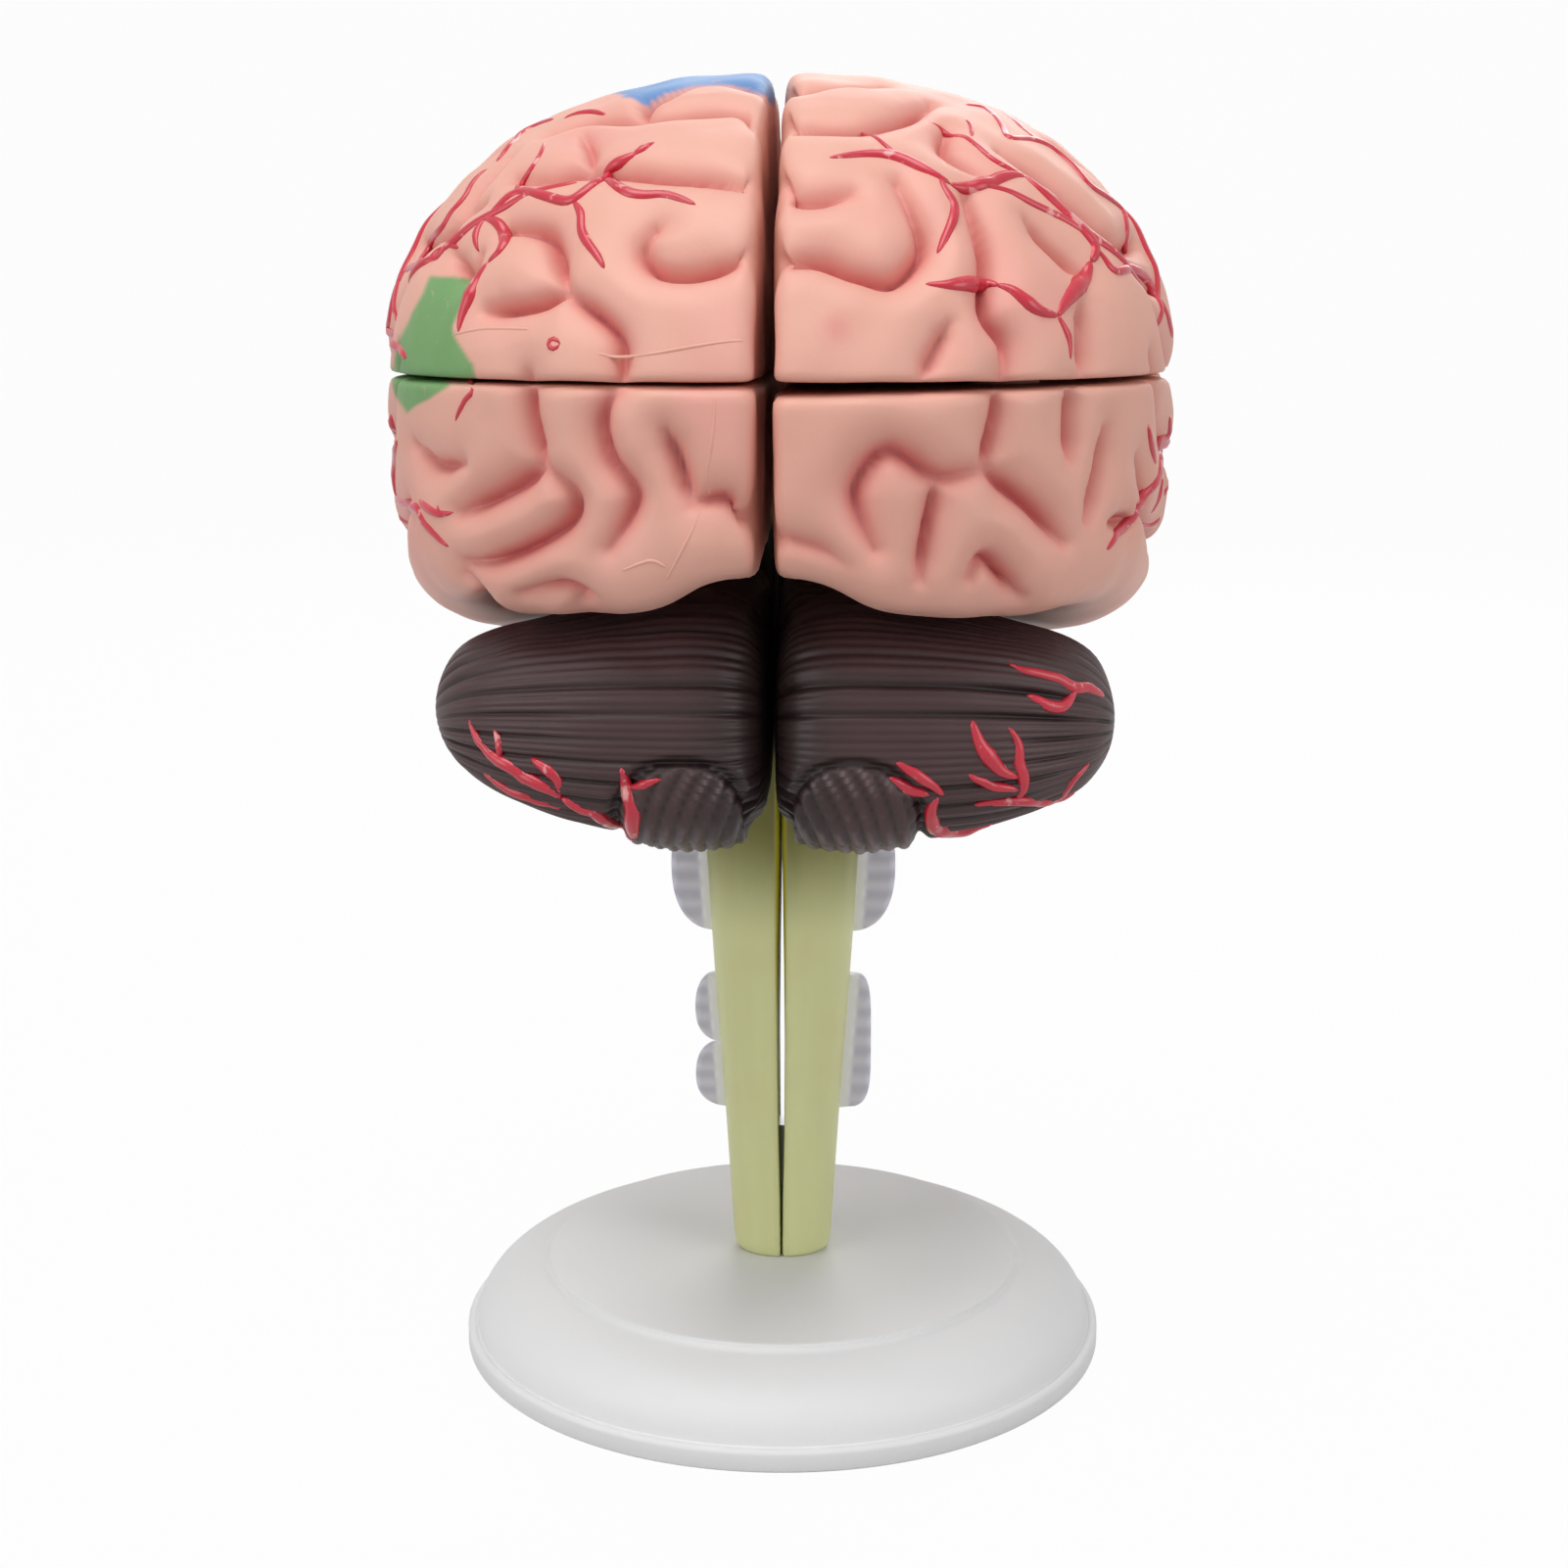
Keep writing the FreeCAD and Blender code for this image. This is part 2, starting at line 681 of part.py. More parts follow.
def root_plate(edge, ribs):
    """A ribbed plate of nerve roots beside the stem, from its outer edge's points, top to bottom."""
    top, bottom = edge[0].z, edge[-1].z
    inner = stem_width_at(bottom) / 2
    outline = [V(inner, root_forward, bottom), V(inner, root_forward, top)] + edge
    outline.append(outline[0])
    plate = Part.Face(Part.makePolygon(outline)).extrude(V(0, root_thickness, 0))
    pitch = (top - bottom) / (ribs + 1)
    notches = []
    for n in range(ribs):
        height = bottom + pitch * (n + 1)
        start = stem_width_at(height) + root_rim_width
        notch = [
            V(start, root_forward, height - pitch / 4),
            V(start, root_forward + root_rib_depth, height),
            V(start, root_forward, height + pitch / 4),
            V(start, root_forward, height - pitch / 4),
        ]
        notches.append(Part.Face(Part.makePolygon(notch)).extrude(V(half_width, 0, 0)))
    return plate.cut(notches).cut(stem_form())


def lobe_edge(top, bottom, reach_out):
    """Points of a rounded edge between two places beside the stem, bulging out to a reach."""
    middle = V(reach_out, root_forward, (top.z + bottom.z) / 2)
    return Part.Arc(top, middle, bottom).toShape().discretize(root_edge_flats + 1)


def nerve_roots():
    """The plates of nerve roots: one half-round pair above, a plain and a two-lobed one below."""
    ends = []
    for place, length in ((upper_root_place, upper_root_length), (lower_root_place, lower_root_length)):
        middle = base_height + cord_length * place
        for height in (middle + length / 2, middle - length / 2):
            ends.append(V(stem_width_at(height), root_forward, height))
    upper_top, upper_bottom, lower_top, lower_bottom = ends
    notch_height = lower_bottom.z + lower_root_length * lower_root_notch_share
    notch = V((stem_width_at(notch_height) + lower_root_reach) / 2, root_forward, notch_height)
    upper = lobe_edge(upper_top, upper_bottom, upper_root_reach)
    plain = lobe_edge(lower_top, lower_bottom, lower_root_reach)
    lobed = lobe_edge(lower_top, notch, lower_root_reach)
    lobed += lobe_edge(notch, lower_bottom, lower_root_reach)[1:]
    upper_plate = root_plate(upper, upper_root_ribs)
    return {
        "nerve_roots_upper_right": upper_plate,
        "nerve_roots_upper_left": mirror(upper_plate),
        "nerve_roots_lower_right": root_plate(plain, lower_root_ribs),
        "nerve_roots_lower_left": mirror(root_plate(lobed, lower_root_ribs)),
    }


def cerebrum_pieces(rear_folds, middle_gap, side_gap):
    """The upper and the lower piece of one hemisphere, made on the right side."""
    half = cerebrum_half(rear_folds)
    upper = half.common(upper_region())
    lower = half.cut(upper_region(middle_gap, side_gap))
    seat_foot = cut_height - lift_peg_depth / 2
    seats = [
        round_bar(lift_seat_radius, lift_peg_depth / 2, V(lift_peg_x, forward, seat_foot))
        for forward in lift_peg_places
    ]
    lower = lower.fuse(seats)
    lower = lower.cut([stem_form(seat_clearance), lift_pegs(peg_clearance), side_peg(peg_clearance)])
    upper = upper.cut(lift_pegs(peg_clearance))
    return upper, lower


def cerebellum_half(flank_reach):
    """Half of the cerebellum, its leaves running to the side like pages of a book."""
    centre = V(cerebellum_centre_x, -cerebellum_back, cut_height - cerebellum_depth)
    directions, triangles = box_lattice(cerebellum_cell_counts)
    box = V(cerebellum_centre_x, cerebellum_half_depth, cerebellum_half_depth)

    def level(x, y, z):
        return cerebellum_level(x, y, z, flank_reach)

    points = []
    for direction in directions:
        direction = V(direction.x * box.x, direction.y * box.y, direction.z * box.z).normalize()
        radius = reach(level, centre, direction)
        page = math.degrees(math.atan2(direction.z, -direction.y))
        spread = math.hypot(direction.y, direction.z)
        valley = 0.5 - 0.5 * math.cos(2 * math.pi * page / leaf_pitch_deg)
        sink = leaf_depth * ease(spread * 1.5 - 0.4) * valley
        points.append(centre + direction * (radius - sink))
    half = flat_sided(points, triangles, cerebellum_gap / 2)
    return half.cut([stem_form(seat_clearance), cerebellum_peg(peg_clearance)])


nodes = stand()
nodes.update(nerve_roots())

right_stem = stem_half()
nodes["brain_stem_right"] = right_stem
nodes["brain_stem_left"] = mirror(right_stem)
nodes["stem_joining_pegs"] = joining_pegs()

right_upper, right_lower = cerebrum_pieces(rear_right_folds, right_middle_gap, right_side_gap)
left_upper, left_lower = cerebrum_pieces(rear_left_folds, left_parting_gap, left_parting_gap)
nodes["upper_cerebrum_right"] = right_upper
nodes["lower_cerebrum_right"] = right_lower
nodes["upper_cerebrum_left"] = mirror(left_upper)
nodes["lower_cerebrum_left"] = mirror(left_lower)

nodes["cerebellum_right"] = cerebellum_half(right_flank_reach)
nodes["cerebellum_left"] = mirror(cerebellum_half(left_flank_reach))

pegs = {"side_peg": side_peg(), "lift_pegs": lift_pegs(), "cerebellum_peg": cerebellum_peg()}
for name, shape in pegs.items():
    nodes[name + "_right"] = shape
    nodes[name + "_left"] = mirror(shape)

for name, shape in nodes.items():
    solids = shape.Solids
    shape = solids[0] if len(solids) == 1 else Part.Compound(solids)
    shape.exportStep("parts/" + name + ".step")
    print(name, len(solids), round(shape.Volume), shape.isValid())
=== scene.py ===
import bpy
import bmesh
import math
import random
import numpy as np
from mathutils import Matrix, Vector
from mathutils.bvhtree import BVHTree


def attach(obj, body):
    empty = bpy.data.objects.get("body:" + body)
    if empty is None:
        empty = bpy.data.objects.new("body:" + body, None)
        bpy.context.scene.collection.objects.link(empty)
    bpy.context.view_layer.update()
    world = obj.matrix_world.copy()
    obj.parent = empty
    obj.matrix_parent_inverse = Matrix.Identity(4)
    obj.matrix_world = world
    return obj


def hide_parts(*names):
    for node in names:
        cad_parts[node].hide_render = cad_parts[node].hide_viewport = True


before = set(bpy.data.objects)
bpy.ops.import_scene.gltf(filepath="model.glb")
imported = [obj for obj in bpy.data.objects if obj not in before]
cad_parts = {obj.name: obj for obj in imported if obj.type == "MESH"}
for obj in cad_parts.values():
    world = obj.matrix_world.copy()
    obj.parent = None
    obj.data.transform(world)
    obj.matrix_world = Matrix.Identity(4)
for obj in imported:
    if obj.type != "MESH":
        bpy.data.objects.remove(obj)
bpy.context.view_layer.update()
scene = bpy.context.scene
scene.view_settings.view_transform = "Standard"
mm = 0.001


# The camera. It looks at the model from behind and a little above, turned two degrees to the
# right, with the stand's axis in the middle of the picture.
photo_size = 1601.0
sensor_width = 36.0
lens_pixels = 2407.6
camera_distance = 0.4345
camera_height = 0.1973
camera_turn = math.radians(2.0)
camera_pitch = math.radians(11.56)
axis_column = 799.0

bpy.ops.object.select_all(action="DESELECT")
camera_place = Vector((
    camera_distance * math.sin(camera_turn), -camera_distance * math.cos(camera_turn), camera_height,
))
bpy.ops.object.camera_add(location=camera_place, rotation=(math.pi / 2 - camera_pitch, 0, camera_turn))
camera = bpy.context.object
camera.data.sensor_width = sensor_width
camera.data.lens = sensor_width * lens_pixels / photo_size
camera.data.shift_x = (photo_size / 2 - axis_column) / photo_size
camera.data.clip_start = 0.01
scene.camera = camera


# The studio: a pale seamless floor and backdrop in one sweep, and soft lamps on stands round the
# model. The sweep is matt paper, white to the camera and in reflections.
floor_half = 2.2
sweep_height = 2.4
sweep_radius = 0.7
sweep_steps = 12
paper_grey = 0.86
paper_seen = 0.97
paper_mirrored = 0.7
air_strength = 1.1
lamp_aim = (0, 0, 0.13)

bpy.ops.mesh.primitive_plane_add(size=2, location=(0, 0, 0))
backdrop = bpy.context.object
backdrop.name = "backdrop"
backdrop.scale = (floor_half, floor_half, 1)
bpy.ops.object.transform_apply(location=True, rotation=True, scale=True)
bpy.ops.object.mode_set(mode="EDIT")
sheet = bmesh.from_edit_mesh(backdrop.data)
for edge in sheet.edges:
    edge.select_set(all(corner.co.y > 0 for corner in edge.verts))
bmesh.update_edit_mesh(backdrop.data)
length = sweep_radius * math.pi / 2 / sweep_steps
for step in range(sweep_steps):
    turn = (step + 1) * math.pi / 2 / sweep_steps
    move = (0, length * math.cos(turn), length * math.sin(turn))
    bpy.ops.mesh.extrude_region_move(TRANSFORM_OT_translate={"value": move})
bpy.ops.mesh.extrude_region_move(TRANSFORM_OT_translate={"value": (0, 0, sweep_height)})
bpy.ops.object.mode_set(mode="OBJECT")
bpy.ops.object.shade_smooth()


def new_material(name, roughness, coat=0.0, coat_roughness=0.1):
    """A material with its node tree and its shader."""
    material = bpy.data.materials.new(name)
    material.use_nodes = True
    shader = material.node_tree.nodes["Principled BSDF"]
    shader.inputs["Roughness"].default_value = roughness
    shader.inputs["Coat Weight"].default_value = coat
    shader.inputs["Coat Roughness"].default_value = coat_roughness
    return material, material.node_tree, shader


def calculated(tree, operation, *values):
    """A sum worked out by a material: each value is a number or another node's output."""
    node = tree.nodes.new("ShaderNodeMath")
    node.operation = operation
    for socket, value in zip(node.inputs, values):
        if isinstance(value, bpy.types.NodeSocket):
            tree.links.new(value, socket)
        else:
            socket.default_value = value
    return node.outputs[0]


def sweep_paper():
    """Matt paper that the camera and reflections see as nearly white, and that keeps its shadow."""
    material, tree, shader = new_material("sweep_paper", 0.9)
    shader.inputs["Base Color"].default_value = (paper_grey, paper_grey, paper_grey, 1)
    white = tree.nodes.new("ShaderNodeEmission")
    path = tree.nodes.new("ShaderNodeLightPath")
    seen = calculated(tree, "MULTIPLY", path.outputs["Is Glossy Ray"], paper_mirrored)
    for kind in ("Is Camera Ray", "Is Transmission Ray"):
        seen = calculated(tree, "MAXIMUM", seen, path.outputs[kind])
    mix = tree.nodes.new("ShaderNodeMixShader")
    tree.links.new(calculated(tree, "MULTIPLY", seen, paper_seen), mix.inputs["Fac"])
    tree.links.new(shader.outputs["BSDF"], mix.inputs[1])
    tree.links.new(white.outputs["Emission"], mix.inputs[2])
    tree.links.new(mix.outputs["Shader"], tree.nodes["Material Output"].inputs["Surface"])
    return material


backdrop.data.materials.append(sweep_paper())

world = bpy.data.worlds.new("studio_air")
world.use_nodes = True
world.node_tree.nodes["Background"].inputs["Color"].default_value = (1, 1, 1, 1)
world.node_tree.nodes["Background"].inputs["Strength"].default_value = air_strength
scene.world = world


def lamp(name, place, size, watts):
    """A soft square lamp that faces the middle of the model."""
    aim = Vector(lamp_aim) - Vector(place)
    bpy.ops.object.light_add(type="AREA", location=place, rotation=aim.to_track_quat("-Z", "Y").to_euler())
    light = bpy.context.object
    light.name = name
    light.data.size = size
    light.data.energy = watts


lamp("overhead_lamp", (-0.15, -0.35, 1.25), 0.9, 10.0)
lamp("left_lamp", (-1.0, -0.75, 0.45), 0.8, 4.6)
lamp("right_lamp", (1.05, -0.65, 0.5), 0.8, 4.6)
lamp("front_lamp", (0.2, 1.1, 0.8), 0.8, 4.0)


# Stand. A turned foot of white plastic with a rounded lip, a domed shoulder and a raised round
# top, moulded in one piece and hollow underneath. A steel rod, washer and nut hold the stem.
# Outline points are (distance from the axis, height) in millimetres.
base_radius = 61.35
base_height = 16.4
base_wall = 2.4
lip_height = 4.1
lip_round = 0.95
plateau_radius = 45.35
boss_radius = 9.0
boss_bottom = 9.4
bore_radius = 3.05
turning_steps = 160
edge_round = 0.5
boss_fillet = 0.8
inside_slope = (0.3, 1.6)
lip_groove = [(60.0, 4.02), (59.75, 3.78)]
shoulder_curve = [
    (59.5, 4.0), (59.3, 5.6), (58.4, 8.0), (56.6, 10.3),
    (53.9, 12.3), (51.0, 13.6), (48.4, 14.5), (46.7, 14.95),
]
shoulder_step = 1.0
plateau_side = [(0.95, 15.12), (0.6, 15.45), (0.3, 15.95)]
plateau_edge = 0.25
plateau_round = 0.4
plateau_dish = [(44.15, 0.03), (30.0, 0.05)]
inner_curve = [(44.0, 14.0), (49.6, 12.4), (53.6, 10.2), (56.6, 6.8), (58.6, 3.2)]
inner_step = 1.5


def smooth_line(points, step):
    """Points about a step apart on a smooth curve through the given ones."""
    ends = [points[0]] + list(points) + [points[-1]]
    line = []
    for stretch in zip(ends, ends[1:], ends[2:], ends[3:]):
        p, q, r, s = [np.array(corner, float) for corner in stretch]
        count = max(1, round(float(np.linalg.norm(r - q)) / step))
        for i in range(count):
            t = i / count
            bend = (2 * p - 5 * q + 4 * r - s) * t ** 2 + (3 * q - p - 3 * r + s) * t ** 3
            line.append(0.5 * (2 * q + (r - p) * t + bend))
    return np.array(line + [np.array(points[-1], float)])


def quarter_round(centre, radius, start_deg, steps):
    """Outline points of a quarter circle, turning anticlockwise."""
    turns = [math.radians(start_deg + 90 * n / steps) for n in range(steps + 1)]
    return [(centre[0] + radius * math.cos(turn), centre[1] + radius * math.sin(turn)) for turn in turns]


def points_of(piece):
    """A piece's points as an array."""
    flat = np.empty(3 * len(piece.data.vertices))
    piece.data.vertices.foreach_get("co", flat)
    return flat.reshape(-1, 3)


def put_points(piece, points):
    """Moves a piece's points to new places."""
    piece.data.vertices.foreach_set("co", points.ravel())
    piece.data.update()


def put_values(piece, name, values):
    """A value for each point of a piece, which its material reads by name."""
    piece.data.attributes.new(name, "FLOAT", "POINT").data.foreach_set("value", values)


def close_skin(piece):
    """Joins points that lie on each other and turns every face outwards."""
    bpy.context.view_layer.objects.active = piece
    bpy.ops.object.mode_set(mode="EDIT")
    bpy.ops.mesh.select_all(action="SELECT")
    bpy.ops.mesh.remove_doubles(threshold=0.00001)
    bpy.ops.mesh.normals_make_consistent(inside=False)
    bpy.ops.object.mode_set(mode="OBJECT")


def turned_foot():
    """The foot: its section drawn once and spun round the axis."""
    ceiling = base_height - base_wall
    inside = base_radius - base_wall
    outline = [(bore_radius, boss_bottom), (boss_radius - edge_round, boss_bottom)]
    outline += [(boss_radius, boss_bottom + edge_round), (boss_radius, ceiling - boss_fillet)]
    outline += [(boss_radius + boss_fillet, ceiling)]
    outline += [tuple(point) for point in smooth_line(inner_curve, inner_step)]
    outline += [(inside, inside_slope[1]), (inside + inside_slope[0], 0.0)]
    outline += quarter_round((base_radius - edge_round, edge_round), edge_round, -90, 3)
    outline += quarter_round((base_radius - lip_round, lip_height - lip_round), lip_round, 0, 6)
    outline += lip_groove + [tuple(point) for point in smooth_line(shoulder_curve, shoulder_step)]
    outline += [(plateau_radius + out, height) for out, height in plateau_side]
    plateau_middle = (plateau_radius - plateau_edge, base_height - plateau_round)
    outline += quarter_round(plateau_middle, plateau_round, 0, 4)
    outline += [(away, base_height - drop) for away, drop in plateau_dish] + [(bore_radius, base_height)]
    bpy.ops.mesh.primitive_circle_add(vertices=len(outline), radius=0.05)
    foot = bpy.context.object
    foot.name = "base_shell_skin"
    put_points(foot, np.array([(away * mm, 0, height * mm) for away, height in outline]))
    bpy.ops.object.mode_set(mode="EDIT")
    bpy.ops.mesh.select_all(action="SELECT")
    bpy.ops.mesh.spin(steps=turning_steps, angle=2 * math.pi, center=(0, 0, 0), axis=(0, 0, 1))
    bpy.ops.object.mode_set(mode="OBJECT")
    close_skin(foot)
    bpy.ops.object.shade_smooth_by_angle(angle=math.radians(40))
    return foot


def screen_colour(red, green, blue):
    """A colour as a screen shows it, 0 to 255, turned into light."""
    return tuple(
        ((c / 255 + 0.055) / 1.055) ** 2.4 if c > 10 else c / 255 / 12.92 for c in (red, green, blue)
    ) + (1,)


def blended(tree, share, first, second):
    """Two colours blended by a share; each is a colour or another node's output."""
    node = tree.nodes.new("ShaderNodeMix")
    node.data_type = "RGBA"
    for name, value in (("Factor", share), ("A", first), ("B", second)):
        if isinstance(value, bpy.types.NodeSocket):
            tree.links.new(value, node.inputs[name])
        else:
            node.inputs[name].default_value = value
    return node.outputs["Result"]


def place_on_piece(tree):
    """The place on the piece that a material colours, in metres."""
    found = tree.nodes.get("place") or tree.nodes.new("ShaderNodeTexCoord")
    found.name = "place"
    return found.outputs["Object"]


def mottle(tree, scale, detail=3.0, stretch=(1, 1, 1)):
    """Cloudy unevenness from 0 to 1, stretched along the axes by the given shares."""
    room = tree.nodes.new("ShaderNodeMapping")
    room.inputs["Scale"].default_value = stretch
    tree.links.new(place_on_piece(tree), room.inputs["Vector"])
    cloud = tree.nodes.new("ShaderNodeTexNoise")
    cloud.inputs["Scale"].default_value = scale
    cloud.inputs["Detail"].default_value = detail
    tree.links.new(room.outputs["Vector"], cloud.inputs["Vector"])
    return cloud.outputs["Fac"]


def mottled(tree, scale, detail, first, second):
    """Two screen colours blended in clouds."""
    return blended(tree, mottle(tree, scale, detail), screen_colour(*first), screen_colour(*second))


def between(tree, value, low, high):
    """How far a value is from low to high, eased, from 0 to 1."""
    node = tree.nodes.new("ShaderNodeMapRange")
    node.interpolation_type = "SMOOTHSTEP"
    tree.links.new(value, node.inputs["Value"])
    node.inputs["From Min"].default_value = low
    node.inputs["From Max"].default_value = high
    return node.outputs["Result"]


def raise_grain(tree, shader, height, distance):
    """Small relief of the surface, with the given height in metres."""
    node = tree.nodes.new("ShaderNodeBump")
    node.inputs["Distance"].default_value = distance
    tree.links.new(height, node.inputs["Height"])
    tree.links.new(node.outputs["Normal"], shader.inputs["Normal"])


def vary_roughness(tree, shader, cloud, low, high):
    """Roughness from low to high, as a cloud's value goes from 0 to 1."""
    node = tree.nodes.new("ShaderNodeMapRange")
    tree.links.new(cloud, node.inputs["Value"])
    node.inputs["To Min"].default_value = low
    node.inputs["To Max"].default_value = high
    tree.links.new(node.outputs["Result"], shader.inputs["Roughness"])


speck_places = [(-0.0395, -0.0456, 0.0062), (0.0401, -0.0452, 0.0025)]
speck_radius = 0.0004
speck_fade = 0.001


def stand_plastic():
    """White satin plastic with faint clouding, moulding grain and two tiny dark specks."""
    material, tree, shader = new_material("stand_plastic", 0.42)
    colour = mottled(tree, 22, 2, (241, 241, 241), (237, 237, 238))
    for place in speck_places:
        gap = tree.nodes.new("ShaderNodeVectorMath")
        gap.operation = "DISTANCE"
        tree.links.new(place_on_piece(tree), gap.inputs[0])
        gap.inputs[1].default_value = place
        clear = between(tree, gap.outputs["Value"], speck_radius, speck_fade)
        colour = blended(tree, clear, screen_colour(150, 150, 148), colour)
    tree.links.new(colour, shader.inputs["Base Color"])
    vary_roughness(tree, shader, mottle(tree, 60, 3), 0.5, 0.62)
    raise_grain(tree, shader, mottle(tree, 1400, 2), 0.00002)
    return material


def brushed_steel():
    """Bright zinc-plated steel, drawn along its length."""
    material, tree, shader = new_material("brushed_steel", 0.32)
    shader.inputs["Metallic"].default_value = 1.0
    streaks = mottle(tree, 900, 2, (1, 1, 0.06))
    tree.links.new(blended(tree, streaks, screen_colour(176, 178, 180), screen_colour(205, 206, 208)),
              shader.inputs["Base Color"])
    vary_roughness(tree, shader, streaks, 0.24, 0.42)
    raise_grain(tree, shader, streaks, 0.00001)
    return material


def repaint(node, material):
    """Gives a CAD node that stays as it is a finished material."""
    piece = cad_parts[node]
    piece.data.materials.clear()
    piece.data.materials.append(material)


foot = turned_foot()
foot.data.materials.append(stand_plastic())
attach(foot, "stand")
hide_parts("base_shell")
steel = brushed_steel()
for node in ("support_rod", "rod_washer", "rod_nut"):
    repaint(node, steel)


# Brain stem. Two castings of soft pale yellow-green vinyl that meet in the middle plane and gape a
# little; two pegs join them, and the steel rod comes up between them from the foot.
# Sections are (height, half width, half depth, how far forward) in millimetres.
stem_sections = [
    (16.4, 9.0, 6.9, 0.0),
    (19.2, 9.4, 7.3, 0.0),
    (45.0, 11.0, 8.4, 0.0),
    (72.0, 12.9, 9.8, 0.0),
    (97.0, 14.4, 10.9, 0.0),
    (110.0, 14.8, 12.0, 0.5),
    (119.0, 16.8, 14.8, 2.5),
    (130.0, 16.8, 15.0, 3.0),
    (138.0, 14.0, 12.6, 1.5),
    (146.0, 12.5, 11.0, 0.5),
    (155.0, 14.5, 13.0, 2.0),
    (166.0, 16.5, 15.5, 3.5),
    (175.0, 13.5, 14.0, 4.0),
    (180.0, 7.5, 9.0, 4.5),
]
gape_heights = [16.4, 28.0, 42.0, 60.0, 76.0, 100.0, 120.0]
gape_widths = [0.3, 0.5, 1.1, 1.35, 1.1, 0.35, 0.25]
foot_round = 2.2
foot_shrink = 0.13
foot_crowding = 1.3
stem_lip_power = 16.0
stem_core_share = 0.45
stem_side_share = 1.2
stem_reach = 60.0
stem_room = 0.4
# Heights and places in metres of the painted shade on the stem (olive, then near black) and of the painted
# glow along the slit.
olive_rise = (0.082, 0.107)
olive_fall = (0.128, 0.142)
shade_rise = (0.113, 0.119)
shade_fall = (0.156, 0.162)
shade_side = (0.007, 0.01)
shade_front = (-0.006, 0.0)
slit_half = (0.0006, 0.0014)
slit_rise = (0.055, 0.08)
slit_fall = (0.109, 0.115)
socket_radius = 2.58
joining_reach = 7.6
joining_forward = 1.0
joining_heights = (112.0, 152.5)
rod_socket_start = (0, 0, 15.0)
rod_socket = (3.08, 27.6)
collar_socket = (5.0, 3.8)
side_socket_start = (8.4, 3.0, 165.0)
side_socket_length = 18.2
slanted_socket_start = (8.5, -2.52, 125.86)
slanted_socket_way = (0, -0.8, -0.6)
slanted_socket_length = 23.2
stem_cells = (12, 26, 96)


def ease(t):
    """Smooth step from 0 to 1."""
    t = np.clip(t, 0.0, 1.0)
    return t * t * (3 - 2 * t)


def cube_of_cells(name, counts):
    """A cube whose faces are cut into a lattice of cells, ready to be pushed onto a form.

    Each axis is halved first and cut again after it, because one subdivision makes a hundred cuts at most."""
    bpy.ops.object.select_all(action="DESELECT")
    bpy.ops.mesh.primitive_cube_add(size=2)
    lump = bpy.context.object
    lump.name = name
    bpy.ops.object.mode_set(mode="EDIT")
    bpy.ops.mesh.select_mode(type="EDGE")
    for axis, count in enumerate(counts):
        for share in (2, count // 2):
            cage = bmesh.from_edit_mesh(lump.data)
            for edge in cage.edges:
                run = edge.verts[0].co - edge.verts[1].co
                edge.select_set(abs(run[axis]) > 0.9 * run.length)
            bmesh.update_edit_mesh(lump.data)
            bpy.ops.mesh.subdivide(number_cuts=share - 1)
    bpy.ops.object.mode_set(mode="OBJECT")
    return lump


def reach(level, start, ways, most=200.0):
    """Distances from start, along each way, to the form's skin."""
    near = np.zeros(len(ways))
    far = np.full(len(ways), most)
    for _ in range(30):
        middle = (near + far) / 2
        inside = level(start + ways * middle[:, None]) < 1
        near = np.where(inside, middle, near)
        far = np.where(inside, far, middle)
    return near


def stem_shape(name, side, grown, counts):
    """Half of the stem (side 1 or -1), or all of it (side 0); grown on all sides by a room."""
    form = cube_of_cells(name, counts)
    across, along, up = points_of(form).T
    drawn = smooth_line(stem_sections, 1.0)
    low, high = drawn[0, 0] - grown, drawn[-1, 0] + grown
    height = low + (high - low) * ((up + 1) / 2) ** foot_crowding
    wide, deep, forward = [np.interp(height, drawn[:, 0], drawn[:, k]) for k in (1, 2, 3)]
    curl = np.clip(1 - (height - low) / foot_round, 0, 1)
    shrink = 1 - foot_shrink * (1 - np.sqrt(1 - curl ** 2))
    wide, deep = wide * shrink + grown, deep * shrink + grown
    gap = np.interp(height, gape_heights, gape_widths) / 2
    centre = stem_core_share * wide if side else 0 * wide

    def level(p):
        outer = np.hypot(p[:, 0] / wide, (p[:, 1] - forward) / deep)
        inner = np.maximum(0, (centre - p[:, 0]) / (centre - gap)) if side else 0
        return (outer ** stem_lip_power + inner ** stem_lip_power) ** (1 / stem_lip_power)

    start = np.stack([centre, forward, height], axis=1)
    ways = np.stack([
        np.tan(across * math.pi / 4), stem_side_share * np.tan(along * math.pi / 4), 0 * up,
    ], axis=1)
    ways /= np.maximum(np.linalg.norm(ways, axis=1, keepdims=True), 1e-9)
    share = np.maximum(abs(across), abs(along))
    points = start + ways * (share * reach(level, start, ways, stem_reach))[:, None]
    if side < 0:
        points[:, 0] *= -1
    put_points(form, points * mm)
    close_skin(form)
    bpy.ops.object.shade_smooth()
    return form


def round_cutter(name, radius, start, way, length):
    """A round bar that a socket is cut with; places and sizes in millimetres."""
    way = Vector(way).normalized()
    middle = (Vector(start) + way * length / 2) * mm
    turn = way.to_track_quat("Z", "Y").to_euler()
    bpy.ops.mesh.primitive_cylinder_add(
        vertices=32, radius=radius * mm, depth=length * mm, location=middle, rotation=turn,
    )
    bar = bpy.context.object
    bar.name = name
    bpy.ops.object.transform_apply(location=True, rotation=True, scale=True)
    return bar


def cut_away(piece, cutters):
    """Cuts other forms out of a piece."""
    bpy.context.view_layer.objects.active = piece
    for cutter in cutters:
        cut = piece.modifiers.new("socket", "BOOLEAN")
        cut.operation = "DIFFERENCE"
        cut.solver = "EXACT"
        cut.object = cutter
        bpy.ops.object.modifier_apply(modifier=cut.name)


